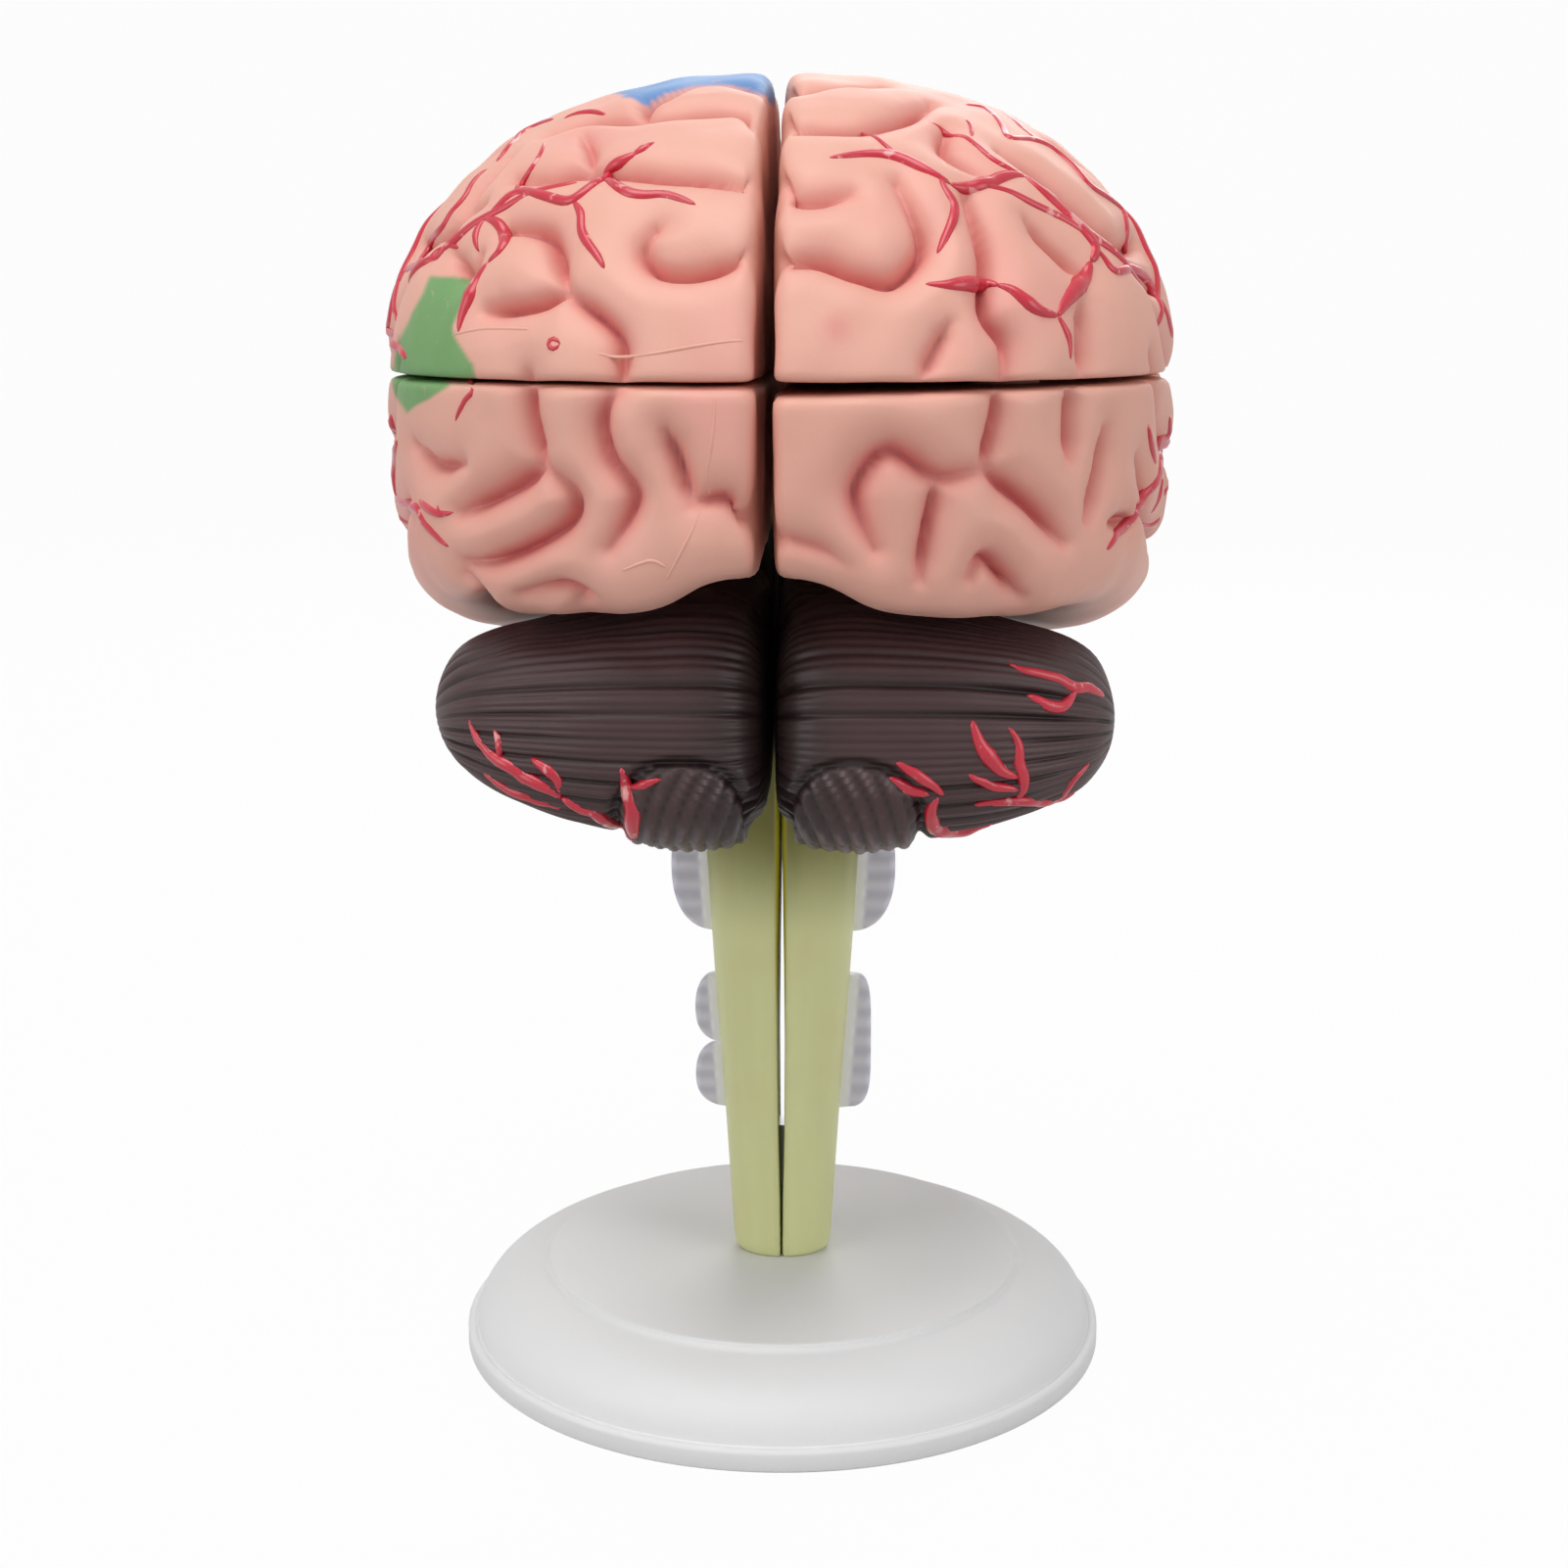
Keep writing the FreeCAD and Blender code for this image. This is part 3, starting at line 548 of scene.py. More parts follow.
def let_light_in(shader, weight, radii):
    """Lets some light sink into a material, to a depth in metres for its red, green and blue."""
    shader.inputs["Subsurface Weight"].default_value = weight
    shader.inputs["Subsurface Radius"].default_value = radii


def band(tree, value, rise, fall):
    """1 between an eased rise and an eased fall, each given as where it starts and ends."""
    return calculated(tree, "SUBTRACT", between(tree, value, *rise), between(tree, value, *fall))


def stem_vinyl():
    """Pale yellow-green vinyl with painted shade, olive where it runs up between the tonsils and near black
    at the back in the gap above, and a painted yellow glow along the slit.
    """
    material, tree, shader = new_material("stem_vinyl", 0.4, 0.2, 0.3)
    let_light_in(shader, 0.1, (0.003, 0.003, 0.001))
    parts = tree.nodes.new("ShaderNodeSeparateXYZ")
    tree.links.new(place_on_piece(tree), parts.inputs[0])
    streaks = mottle(tree, 150, 3, (1, 1, 0.12))
    pale = blended(tree, streaks, screen_colour(216, 213, 152), screen_colour(224, 231, 170))
    warm = between(tree, mottle(tree, 45, 2), 0.5, 0.75)
    pale = blended(tree, calculated(tree, "MULTIPLY", warm, 0.5), pale, screen_colour(221, 207, 150))
    # Painted shade: olive where the stem runs up into the shade between the tonsils, with a streaky lower
    # edge.
    lifted = calculated(tree, "ADD", parts.outputs["Z"], calculated(tree, "MULTIPLY", streaks, 0.006))
    olive = band(tree, lifted, olive_rise, olive_fall)
    colour = blended(tree, olive, pale, screen_colour(112, 108, 12))
    beside = calculated(tree, "ABSOLUTE", parts.outputs["X"])
    # Painted shade: near black on the back of the stem high up, where it sits in the narrow gap under the
    # cerebellum halves; it fades out to the sides and towards the front.
    dark = band(tree, parts.outputs["Z"], shade_rise, shade_fall)
    dark = calculated(tree, "SUBTRACT", dark, between(tree, beside, *shade_side))
    dark = calculated(tree, "SUBTRACT", dark, between(tree, parts.outputs["Y"], *shade_front))
    dark = between(tree, dark, 0.0, 1.0)
    colour = blended(tree, dark, colour, screen_colour(34, 28, 22))
    # Painted light: a yellow glow along the slit between the halves, where light comes through the vinyl.
    slit = calculated(tree, "SUBTRACT", 1.0, between(tree, beside, *slit_half))
    risen = band(tree, parts.outputs["Z"], slit_rise, slit_fall)
    colour = blended(tree, calculated(tree, "MULTIPLY", slit, risen), colour, screen_colour(178, 168, 30))
    tree.links.new(colour, shader.inputs["Base Color"])
    vary_roughness(tree, shader, mottle(tree, 80, 2), 0.34, 0.5)
    raise_grain(tree, shader, streaks, 0.00006)
    return material


joining_sockets = [
    round_cutter(
        "joining_cutter", socket_radius, (-joining_reach, joining_forward, height), (1, 0, 0),
        2 * joining_reach,
    ) for height in joining_heights
]
rod_cutters = [
    round_cutter(name, radius, rod_socket_start, (0, 0, 1), length)
    for name, (radius, length) in (("rod_cutter", rod_socket), ("collar_cutter", collar_socket))
]
stem_material = stem_vinyl()
side_cutters = {}
cerebellum_cutters = {}
for side, sign in (("right", 1), ("left", -1)):
    x, y, z = side_socket_start
    side_cutters[side] = round_cutter(
        "side_cutter_" + side, socket_radius, (sign * x, y, z), (sign, 0, 0), side_socket_length,
    )
    x, y, z = slanted_socket_start
    cerebellum_cutters[side] = round_cutter(
        "cerebellum_cutter_" + side, socket_radius, (sign * x, y, z), slanted_socket_way,
        slanted_socket_length,
    )
    half = stem_shape("brain_stem_" + side + "_skin", sign, 0.0, stem_cells)
    cut_away(half, joining_sockets + rod_cutters + [side_cutters[side], cerebellum_cutters[side]])
    half.data.materials.append(stem_material)
    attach(half, "stem_" + side)
    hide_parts("brain_stem_" + side)


# Nerve roots. Thin plates of white plastic moulded beside each half of the stem, with a smooth
# inner rim and ribs that run outwards: half-round above, rounded or two-lobed below.
root_front = 3.0
root_thickness = 2.6
root_sunk = 0.5
root_start_share = 0.8
root_round = 1.1
root_edge_share = 0.75
rim_width = 1.32
rim_fade = 0.9
rib_depth = 0.32
root_cells = (20, 6, 90)
upper_root = (79.0, 105.0, 21.4, 2.3, 7)
lower_root = (43.5, 70.5, 17.0, 4.2, 7)
lower_root_lobes = [(43.5, 56.6, 17.0, 2.4, 4), (56.6, 70.5, 17.0, 2.4, 4)]


def stem_half_width(height):
    """Half the stem's width at the given heights."""
    drawn = smooth_line(stem_sections, 1.0)
    return np.interp(height, drawn[:, 0], drawn[:, 1])


def root_plate(name, lobes, sign):
    """A ribbed plate; each lobe is (bottom, top, reach, roundness, ribs)."""
    plate = cube_of_cells(name, root_cells)
    across, thick, up = points_of(plate).T
    low, high = lobes[0][0], lobes[-1][1]
    height = low + (high - low) * (up + 1) / 2
    stem = stem_half_width(height)
    edge = stem - root_sunk
    rib = np.zeros(len(up))
    for bottom, top, out, roundness, ribs in lobes:
        t = abs(2 * (height - bottom) / (top - bottom) - 1)
        bulge = (1 - np.minimum(t, 1) ** roundness) ** (1 / roundness)
        inside = t <= 1
        edge = np.where(inside, stem - root_sunk + (out - stem + root_sunk) * bulge, edge)
        wave = np.cos(2 * math.pi * ribs * (height - bottom) / (top - bottom))
        rib = np.where(inside, 0.5 + 0.5 * wave, rib)
    inner = root_start_share * stem
    x = inner + (edge - inner) * (across + 1) / 2
    outward = ease((x - stem - rim_width) / rim_fade)
    curl = np.clip(1 - (edge - x) / root_round, 0, 1)
    half = root_thickness / 2 * np.sqrt(1 - root_edge_share * curl ** 2)
    half = half - outward * rib_depth * rib * (1 - curl ** 2)
    y = root_front + root_thickness / 2 + thick * half
    put_points(plate, np.stack([sign * x, y, height], axis=1) * mm)
    put_values(plate, "rim", 1 - outward)
    put_values(plate, "rib", rib * outward)
    close_skin(plate)
    bpy.ops.object.shade_smooth_by_angle(angle=math.radians(50))
    return plate


def mark(tree, name):
    """A value that the piece carries for each of its points."""
    node = tree.nodes.new("ShaderNodeAttribute")
    node.attribute_name = name
    return node.outputs["Fac"]


def root_plastic():
    """White plastic with a lavender cast, shaded between the ribs and brightest on the inner rim."""
    material, tree, shader = new_material("root_plastic", 0.36, 0.2, 0.2)
    let_light_in(shader, 0.15, (0.002, 0.002, 0.0025))
    colour = mottled(tree, 90, 3, (218, 216, 228), (234, 232, 243))
    shade = calculated(tree, "MULTIPLY", mark(tree, "rib"), 0.55)
    colour = blended(tree, shade, colour, screen_colour(186, 185, 200))
    colour = blended(tree, mark(tree, "rim"), colour, screen_colour(246, 246, 249))
    tree.links.new(colour, shader.inputs["Base Color"])
    vary_roughness(tree, shader, mottle(tree, 70, 2), 0.32, 0.46)
    raise_grain(tree, shader, mottle(tree, 500, 3, (0.4, 1, 1)), 0.00005)
    return material


root_material = root_plastic()
for name, side, sign, lobes in (
    ("nerve_roots_upper_right", "stem_right", 1, [upper_root]),
    ("nerve_roots_upper_left", "stem_left", -1, [upper_root]),
    ("nerve_roots_lower_right", "stem_right", 1, [lower_root]),
    ("nerve_roots_lower_left", "stem_left", -1, lower_root_lobes),
):
    plate = root_plate(name + "_skin", lobes, sign)
    plate.data.materials.append(root_material)
    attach(plate, side)
    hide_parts(name)


# Pegs. Turned rods of ivory plastic, glued into one piece and pressed into the next, so that the
# model can be taken apart. They keep their CAD form and get their finish here.
def peg_plastic():
    """Ivory plastic with faint clouding and a fine grain."""
    material, tree, shader = new_material("peg_plastic", 0.35, 0.15, 0.2)
    cloud = mottle(tree, 120, 3)
    tree.links.new(blended(tree, cloud, screen_colour(226, 219, 200), screen_colour(238, 233, 219)),
              shader.inputs["Base Color"])
    vary_roughness(tree, shader, cloud, 0.3, 0.45)
    raise_grain(tree, shader, mottle(tree, 1500, 2), 0.00002)
    return material


peg_material = peg_plastic()
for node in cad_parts:
    if "peg" in node:
        repaint(node, peg_material)


# Cerebrum. Each hemisphere is two hollow castings of soft pink vinyl, an upper and a lower one,
# that meet at a level parting line. Their folds are moulded in and brushed with rose paint.
# Sizes in this section are millimetres, heights are over the parting line.
cut_height = 185.5
half_width = 69.5
half_length = 83.1
top_height = 51.5
low_height = 53.0
plan_power = 2.3
top_power = 2.2
low_power = 4.0
pole_drop = 8.0
mid_plane = 0.65
middle_x = 35.0
edge_power = 12.0
inner_power = 26.0
cut_power = 60.0
temporal_depth = 52.5
frontal_depth = 20.5
occipital_depth = 39.5
frontal_step = (32, 48)
occipital_step = (5, 50)
edge_step = (45, 70)
middle_rise = 26.0
rear_middle_rise = 12.0
edge_middle_rise = 8.0
rear_middle_step = (10, 40)
front_middle_step = (-40, -20)
middle_half_width = 28
edge_half_width = 15
cut_forwards = [-200, 16, 37, 200]
cut_heights = [0, 0, -20.9, -20.9]
upper_centre = np.array([35.0, 6.0, 15.0])
lower_centre = np.array([36.0, -14.0, -24.0])
parting_gap = [0.5, 0.5]
fold_line_step = 0.7


def eased(value, step):
    """Eased from 0 to 1 while a value goes over a step, given as where it starts and ends."""
    return ease((value - step[0]) / (step[1] - step[0]))


def underside(x, y):
    """Height of the cerebrum's underside, which is raised over the cerebellum and the stem."""
    edge = eased(-y, edge_step)
    depth = temporal_depth - (temporal_depth - frontal_depth) * eased(y, frontal_step)
    depth = depth - (temporal_depth - occipital_depth) * eased(-y, occipital_step)
    rise = middle_rise + (rear_middle_rise - middle_rise) * eased(-y, rear_middle_step)
    rise = (rise + (edge_middle_rise - rear_middle_rise) * edge) * eased(-y, front_middle_step)
    half = middle_half_width - (middle_half_width - edge_half_width) * edge
    return rise / (1 + (abs(x) / half) ** 4) - depth


def hemisphere_level(p):
    """Under 1 inside the right hemisphere, and 1 on its smooth outer form."""
    x, y, z = p.T
    along = y / half_length
    plan = (abs(x / half_width) ** plan_power + abs(along) ** plan_power) ** (1 / plan_power)
    rise = z + pole_drop * along ** 2
    over = (plan ** top_power + (np.maximum(rise, 0) / top_height) ** top_power) ** (1 / top_power)
    below = (plan ** low_power + (np.maximum(-rise, 0) / low_height) ** low_power) ** (1 / low_power)
    outer = np.where(rise > 0, over, below)
    inner = np.maximum(0, (middle_x - x) / (middle_x - mid_plane))
    under = np.maximum(0, z / np.minimum(underside(x, y), -1))
    outer = (outer ** edge_power + under ** edge_power) ** (1 / edge_power)
    return (outer ** inner_power + inner ** inner_power) ** (1 / inner_power)


def cut_line(y):
    """Height of the cut between upper and lower piece: level, then down to the frontal underside."""
    return np.interp(y, cut_forwards, cut_heights)


def upper_level(p):
    """The upper piece's form, kept over the cut."""
    depth = (upper_centre[2] - p[:, 2]) / (upper_centre[2] - cut_line(p[:, 1]))
    return (hemisphere_level(p) ** cut_power + np.maximum(0, depth) ** cut_power) ** (1 / cut_power)


def lower_level(p):
    """The lower piece's form, kept under the cut and its parting gap."""
    gap = parting_gap[0] + (parting_gap[1] - parting_gap[0]) * p[:, 0] / half_width
    limit = cut_line(p[:, 1]) - gap - lower_centre[2]
    rise = (p[:, 2] - lower_centre[2]) / np.maximum(limit, 0.5)
    return (hemisphere_level(p) ** cut_power + np.maximum(0, rise) ** cut_power) ** (1 / cut_power)


def skin_way(level, p):
    """Unit vectors straight out of a form's skin."""
    step = 0.05
    slope = np.stack([
        level(p + step * np.eye(3)[k]) - level(p - step * np.eye(3)[k]) for k in range(3)
    ], axis=1)
    return slope / np.maximum(np.linalg.norm(slope, axis=1, keepdims=True), 1e-9)


# Folds as points on four views: rear and front points are (distance from the middle, height),
# side points are (forward, height) and top points are (distance from the middle, forward). Each
# row starts with the fold's depth and its width, as shares of the values after these lists.
rear_left_folds = [
    (1.0, 1.0, [(38, 40), (31, 42), (20, 42), (6, 43), (2, 40)]),
    (1.0, 1.0, [(20, 42), (21, 44), (15, 47), (7, 48), (2, 46)]),
    (1.0, 1.0, [(42, 32), (36, 32), (29, 33), (15, 32), (2, 30)]),
    (0.6, 1.2, [(31, 39), (29, 36), (29, 33)]),
    (1.0, 1.0, [(17, 24), (19, 21), (17, 18), (12, 17), (2, 19)]),
    (1.0, 1.2, [(42, 24), (37, 24), (34, 22), (31, 14)]),
    (1.0, 1.2, [(31, 14), (37, 12), (45, 11)]),
    (1.0, 1.0, [(31, 14), (25, 10), (22, 6), (22, -1)]),
    (0.8, 1.2, [(44, 36), (50, 29), (55, 20)]),
    (0.8, 1.0, [(52, 20), (49, 17), (47, 20)]),
    (1.0, 1.1, [(37, 1), (37, -5), (35, -13)]),
    (1.0, 1.4, [(35, -13), (42, -17), (50, -21)]),
    (1.0, 1.3, [(35, -13), (30, -17), (32, -22), (43, -28), (49, -29)]),
    (1.0, 1.1, [(22, 1), (25, -5), (24, -11), (20, -17), (24, -25)]),
    (1.0, 0.9, [(15, -7), (13, -12), (11, -18)]),
    (1.0, 0.9, [(11, -18), (6, -17), (1, -20)]),
    (0.8, 1.0, [(59, -11), (55, -14), (49, -13)]),
    (0.8, 1.2, [(49, -31), (46, -34), (46, -40)]),
    (0.9, 1.2, [(39, -34), (32, -32), (27, -35)]),
]
rear_right_folds = [
    (1.0, 1.0, [(1, 40), (8, 40), (15, 40), (21, 42), (26, 45)]),
    (0.8, 1.0, [(1, 46), (8, 47), (18, 48)]),
    (0.8, 1.0, [(1, 30), (6, 28), (13, 29)]),
    (1.0, 1.1, [(20, 31), (24, 23), (23, 19), (19, 16), (14, 17), (8, 19), (1, 18)]),
    (1.0, 1.1, [(31, 29), (34, 20), (34, 11), (37, 6), (37, 0)]),
    (0.7, 1.0, [(28, 9), (26, 5), (24, 1)]),
    (0.8, 1.0, [(41, 25), (44, 22), (50, 17)]),
    (0.8, 1.0, [(28, 40), (28, 36), (34, 32)]),
    (0.8, 1.0, [(50, 12), (50, 1)]),
    (0.9, 1.0, [(37, 36), (47, 30), (56, 23)]),
    (0.9, 1.0, [(56, 22), (59, 18), (65, 14)]),
    (1.0, 0.9, [(36, 0), (36, -5), (34, -13)]),
    (1.0, 1.3, [(34, -13), (27, -14), (19, -10), (14, -16), (17, -25)]),
    (1.0, 1.0, [(27, -14), (25, -24), (24, -30)]),
    (1.0, 1.2, [(34, -13), (42, -19), (47, -25)]),
    (0.9, 1.0, [(48, -1), (48, -12)]),
    (0.9, 1.0, [(54, -8), (53, -15), (51, -22)]),
    (1.0, 1.3, [(32, -30), (35, -27), (40, -34)]),
    (0.8, 1.0, [(60, -13), (63, -21)]),
    (0.8, 1.0, [(55, -23), (60, -23)]),
    (0.5, 1.3, [(1, -23), (9, -25), (16, -31)]),
]
side_folds = [
    (1.2, 1.2, [(42, -21), (28, -14), (8, -8), (-14, -2), (-32, 7), (-37, 15)]),
    (1.0, 1.0, [(-4, 38), (6, 25), (9, 12), (15, -1)]),
    (1.0, 1.0, [(18, 38), (22, 28), (27, 14), (26, 1)]),
    (1.0, 1.0, [(-22, 38), (-14, 26), (-8, 14), (-13, 3)]),
    (1.0, 1.0, [(34, -28), (14, -22), (-10, -17), (-32, -9), (-44, 3)]),
    (1.0, 1.0, [(22, -38), (-6, -33), (-28, -28), (-46, -21)]),
    (1.0, 1.0, [(64, 6), (50, 15), (38, 13), (30, 17)]),
    (1.0, 1.0, [(37, -16), (38, -2)]),
    (1.0, 1.0, [(44, -12), (54, 0)]),
    (1.0, 1.0, [(-26, 22), (-38, 22), (-46, 28)]),
    (1.0, 1.0, [(-6, -33), (-9, -44)]),
    (1.0, 1.0, [(-24, -13), (-20, -27)]),
    (1.0, 1.0, [(72, -8), (60, -9), (50, -5)]),
]
top_folds = [
    (1.0, 1.0, [(3, -10), (18, -7), (36, -2)]),
    (1.0, 1.0, [(4, 12), (18, 14), (34, 18)]),
    (1.0, 1.0, [(20, 22), (24, 44), (20, 66)]),
    (1.0, 1.0, [(4, 36), (12, 37), (22, 34)]),
    (1.0, 1.0, [(24, 44), (38, 46), (48, 42)]),
]
front_folds = [
    (1.0, 1.0, [(3, 22), (14, 20), (22, 24)]),
    (1.0, 1.0, [(8, 4), (22, 8), (38, 4)]),
    (1.0, 1.0, [(22, 8), (25, 18)]),
    (1.0, 1.0, [(5, -10), (18, -7), (32, -10), (44, -6)]),
]
fold_depth = 5.8
valley_reach = 0.95
valley_share = 0.24
shoulder_reach = 7.5
paint_reach = 0.9
tint_reach = 3.2
tint_share = 0.28
gather_reach = 1.5
gather_share = 0.5
fold_room = 18.0
fold_end_share = 0.3
joining_power = 4
wave_depth = 0.45
wave_size = 24
ripple_depth = 0.2
ripple_size = 11
inner_face = 0.86
inner_face_fade = 0.13
soften_share = 0.35


def lay_fold(points, view):
    """A fold's line laid on the right hemisphere's smooth skin."""
    a, b = smooth_line(points, fold_line_step).T
    still = np.zeros(len(a))
    if view == "side":
        start, way = np.stack([still + middle_x, a, b], axis=1), (1, 0, 0)
    elif view == "top":
        start, way = np.stack([a, b, still], axis=1), (0, 0, 1)
    else:
        start, way = np.stack([a, still, b], axis=1), (0, -1 if view == "rear" else 1, 0)
    start = start[hemisphere_level(start) < 1]
    ways = np.tile(np.array(way, float), (len(start), 1))
    laid = start + ways * reach(hemisphere_level, start, ways)[:, None]
    return smooth_line(laid, fold_line_step) if len(laid) > 1 else laid


def laid_folds(rear_folds):
    """Every fold of a hemisphere with its points, its depth at each point and its width."""
    found = []
    views = {"rear": rear_folds, "side": side_folds, "top": top_folds, "front": front_folds}
    for view, folds in views.items():
        for depth, width, points in folds:
            line = lay_fold(points, view)
            if len(line):
                n = np.arange(len(line))
                ends = ease(np.minimum(n, n[::-1]) / max(1.0, fold_end_share * len(line)))
                found.append((line, fold_depth * depth * (0.5 + 0.5 * ends), width))
    return found


def points_beside(p, line, room):
    """The points within a room of a line's box, their gaps to the line and its nearest points."""
    near = np.where(np.all((p > line.min(axis=0) - room) & (p < line.max(axis=0) + room), axis=1))[0]
    gaps = np.linalg.norm(p[near, None, :] - line[None, :, :], axis=2)
    nearest = gaps.argmin(axis=1)
    return near, gaps[np.arange(len(near)), nearest], nearest


def gather_at_folds(p, folds):
    """Draws the points near a fold towards its line, so that the crease is cut sharply."""
    pull = np.zeros_like(p)
    least = np.full(len(p), 3 * gather_reach)
    for line, _, _ in folds:
        near, gap, nearest = points_beside(p, line, 3 * gather_reach)
        closer = gap < least[near]
        least[near[closer]] = gap[closer]
        share = gather_share * np.exp(-(gap[closer] / gather_reach) ** 2)
        pull[near[closer]] = share[:, None] * (line[nearest[closer]] - p[near[closer]])
    return p + pull


def fold_sink(p, folds):
    """How deep each point is pressed in by the folds, and how much rose paint it takes."""
    sink = np.zeros(len(p))
    paint = np.zeros(len(p))
    for line, depth, width in folds:
        near, gap, nearest = points_beside(p, line, fold_room)
        deep = depth[nearest]
        valley = np.exp(-(gap / (valley_reach * width)) ** 2)
        shoulder = 1 - np.sqrt(1 - np.clip(1 - gap / shoulder_reach, 0, 1) ** 2)
        cut = valley_share * valley + (1 - valley_share) * shoulder
        sink[near] += (deep * cut) ** joining_power
        tint = (1 - tint_share) * np.exp(-(gap / (paint_reach * width)) ** 1.4)
        tint += tint_share * np.exp(-(gap / (tint_reach * width)) ** 2)
        paint[near] = np.maximum(paint[near], tint * np.minimum(1, deep / fold_depth))
    return sink ** (1 / joining_power), paint


def wavy(p, scale, seed):
    """Smooth unevenness from about -1 to 1 over a form, of about the given size."""
    draw = random.Random(seed)
    total = np.zeros(len(p))
    for _ in range(7):
        way = Vector([draw.gauss(0, 1) for _ in range(3)]).normalized()
        turn = 2 * math.pi / (scale * draw.uniform(0.8, 1.7))
        total += np.sin(p @ np.array(way) * turn + draw.uniform(0, 6.3))
    return total / 3.5


def soften(piece, rounds, strength):
    """Moves each point towards the middle of its neighbours, as smoothing by hand does."""
    edges = np.empty(2 * len(piece.data.edges), dtype=np.int64)
    piece.data.edges.foreach_get("vertices", edges)
    a, b = edges.reshape(-1, 2).T
    points = points_of(piece)
    count = np.bincount(a, minlength=len(points)) + np.bincount(b, minlength=len(points))
    for _ in range(rounds):
        total = np.zeros_like(points)
        for k in range(3):
            total[:, k] = np.bincount(a, points[b, k], len(points))
            total[:, k] += np.bincount(b, points[a, k], len(points))
        points += strength * (total / count[:, None] - points)
    put_points(piece, points)


def sculpt_cerebrum(name, level, centre, half_sizes, counts, folds, left):
    """One cerebrum casting: its form, then the folds pressed into it, then softened."""
    piece = cube_of_cells(name, counts)
    ways = np.tan(points_of(piece) * math.pi / 4) * np.array(half_sizes)
    ways /= np.linalg.norm(ways, axis=1, keepdims=True)
    skin = centre + ways * reach(level, centre, ways)[:, None]
    depth_in = ease((hemisphere_level(skin) - inner_face) / inner_face_fade)
    gathered = gather_at_folds(skin, folds) - centre
    gathered = skin - centre + (gathered - skin + centre) * depth_in[:, None]
    ways = gathered / np.linalg.norm(gathered, axis=1, keepdims=True)
    skin = centre + ways * reach(level, centre, ways)[:, None]
    out = skin_way(hemisphere_level, skin)
    depth_in = ease((hemisphere_level(skin) - inner_face) / inner_face_fade)
    sink, paint = fold_sink(skin, folds)
    waves = wave_depth * wavy(skin, wave_size, seed=5) + ripple_depth * wavy(skin, ripple_size, seed=8)
    sink = np.maximum(0, sink + waves + wave_depth)
    skin = skin - out * (sink * depth_in)[:, None]
    if left:
        skin[:, 0] *= -1
    put_points(piece, skin * mm + np.array([0, 0, cut_height * mm]))
    soften(piece, 1, soften_share)
    close_skin(piece)
    bpy.ops.object.shade_smooth()
    put_values(piece, "rose", paint * depth_in)
    return piece


# The painted fields of the left hemisphere: a blue one over the top and a green one at the side.
# Their edges are given in the photograph's pixels and thrown onto the castings from the camera.
camera_right = np.array([math.cos(camera_turn), math.sin(camera_turn), 0])
camera_forward = np.array([
    -math.sin(camera_turn) * math.cos(camera_pitch),
    math.cos(camera_turn) * math.cos(camera_pitch),
    -math.sin(camera_pitch),
])
camera_up = np.cross(camera_right, camera_forward)
blue_columns = [605, 618, 645, 660, 680, 705, 745, 775, 795]
blue_rows = [80, 97, 101, 112, 101, 93, 89, 97, 113]
blue_front = 0.012
green_upper = [(440, 283), (462, 280), (480, 283), (478, 300), (462, 335), (465, 345), (484, 374), (486, 392),
               (400, 392), (402, 366), (412, 340), (420, 318), (433, 300)]
green_lower = [(400, 380), (463, 380), (458, 394), (440, 409), (415, 421), (403, 404)]
green_front = -0.024
blue_lowest = 30.0
edge_wobble = 2.5
edge_wobble_size = 9
blue_soft = 5
blue_side_soft = 6
front_soft = 0.003
green_soft = 2.5
blot_pixel = (855, 335)
blot_reach = 15.0
blot_share = 0.45


def pixels_of(points):
    """The photograph's pixels of places on the model, as columns and rows."""
    away = points - np.array(camera_place)
    deep = away @ camera_forward
    column = axis_column + lens_pixels * (away @ camera_right) / deep
    return column, photo_size / 2 - lens_pixels * (away @ camera_up) / deep


def field_share(column, row, outline, soft):
    """1 inside an outline, 0 outside it, and eased over a soft edge."""
    least = np.full(len(column), 1e9)
    inside = np.zeros(len(column), bool)
    for (x0, y0), (x1, y1) in zip(outline, outline[1:] + outline[:1]):
        run = (x1 - x0) ** 2 + (y1 - y0) ** 2
        t = np.clip(((column - x0) * (x1 - x0) + (row - y0) * (y1 - y0)) / run, 0, 1)
        least = np.minimum(least, np.hypot(column - x0 - t * (x1 - x0), row - y0 - t * (y1 - y0)))
        if y0 != y1:
            crosses = (row > min(y0, y1)) & (row <= max(y0, y1))
            inside ^= crosses & (column < x0 + (row - y0) * (x1 - x0) / (y1 - y0))
    return ease(0.5 + np.where(inside, least, -least) / (2 * soft))


def paint_fields(piece, left, upper):
    """Where a casting is painted blue or green, and a pink blot on the right one."""
    points = points_of(piece)
    column, row = pixels_of(points)
    wobble = edge_wobble * wavy(points / mm, edge_wobble_size, seed=21)
    blue = np.zeros(len(points))
    green = np.zeros(len(points))
    if left and upper:
        edge = np.interp(column, blue_columns, blue_rows) + wobble
        blue = ease((edge - row) / blue_soft) * ease((column - blue_columns[0] + wobble) / blue_side_soft)
        blue *= ease((blue_columns[-1] + 2 * blue_side_soft - column) / blue_side_soft)
        blue *= ease((blue_front - points[:, 1] + wobble * mm) / front_soft)
        blue *= points[:, 2] > (cut_height + blue_lowest) * mm
    if left:
        outline = green_upper if upper else green_lower
        green = field_share(column + wobble, row + wobble, outline, green_soft)
        green *= ease((green_front - points[:, 1] + wobble * mm) / front_soft)
    put_values(piece, "blue", blue)
    put_values(piece, "green", green)
    if not left and upper:
        rose = np.empty(len(points))
        painted = piece.data.attributes["rose"].data
        painted.foreach_get("value", rose)
        blot = np.exp(-(np.hypot(column - blot_pixel[0], row - blot_pixel[1]) / blot_reach) ** 2)
        painted.foreach_set("value", np.maximum(rose, blot_share * blot * (points[:, 1] < 0)))


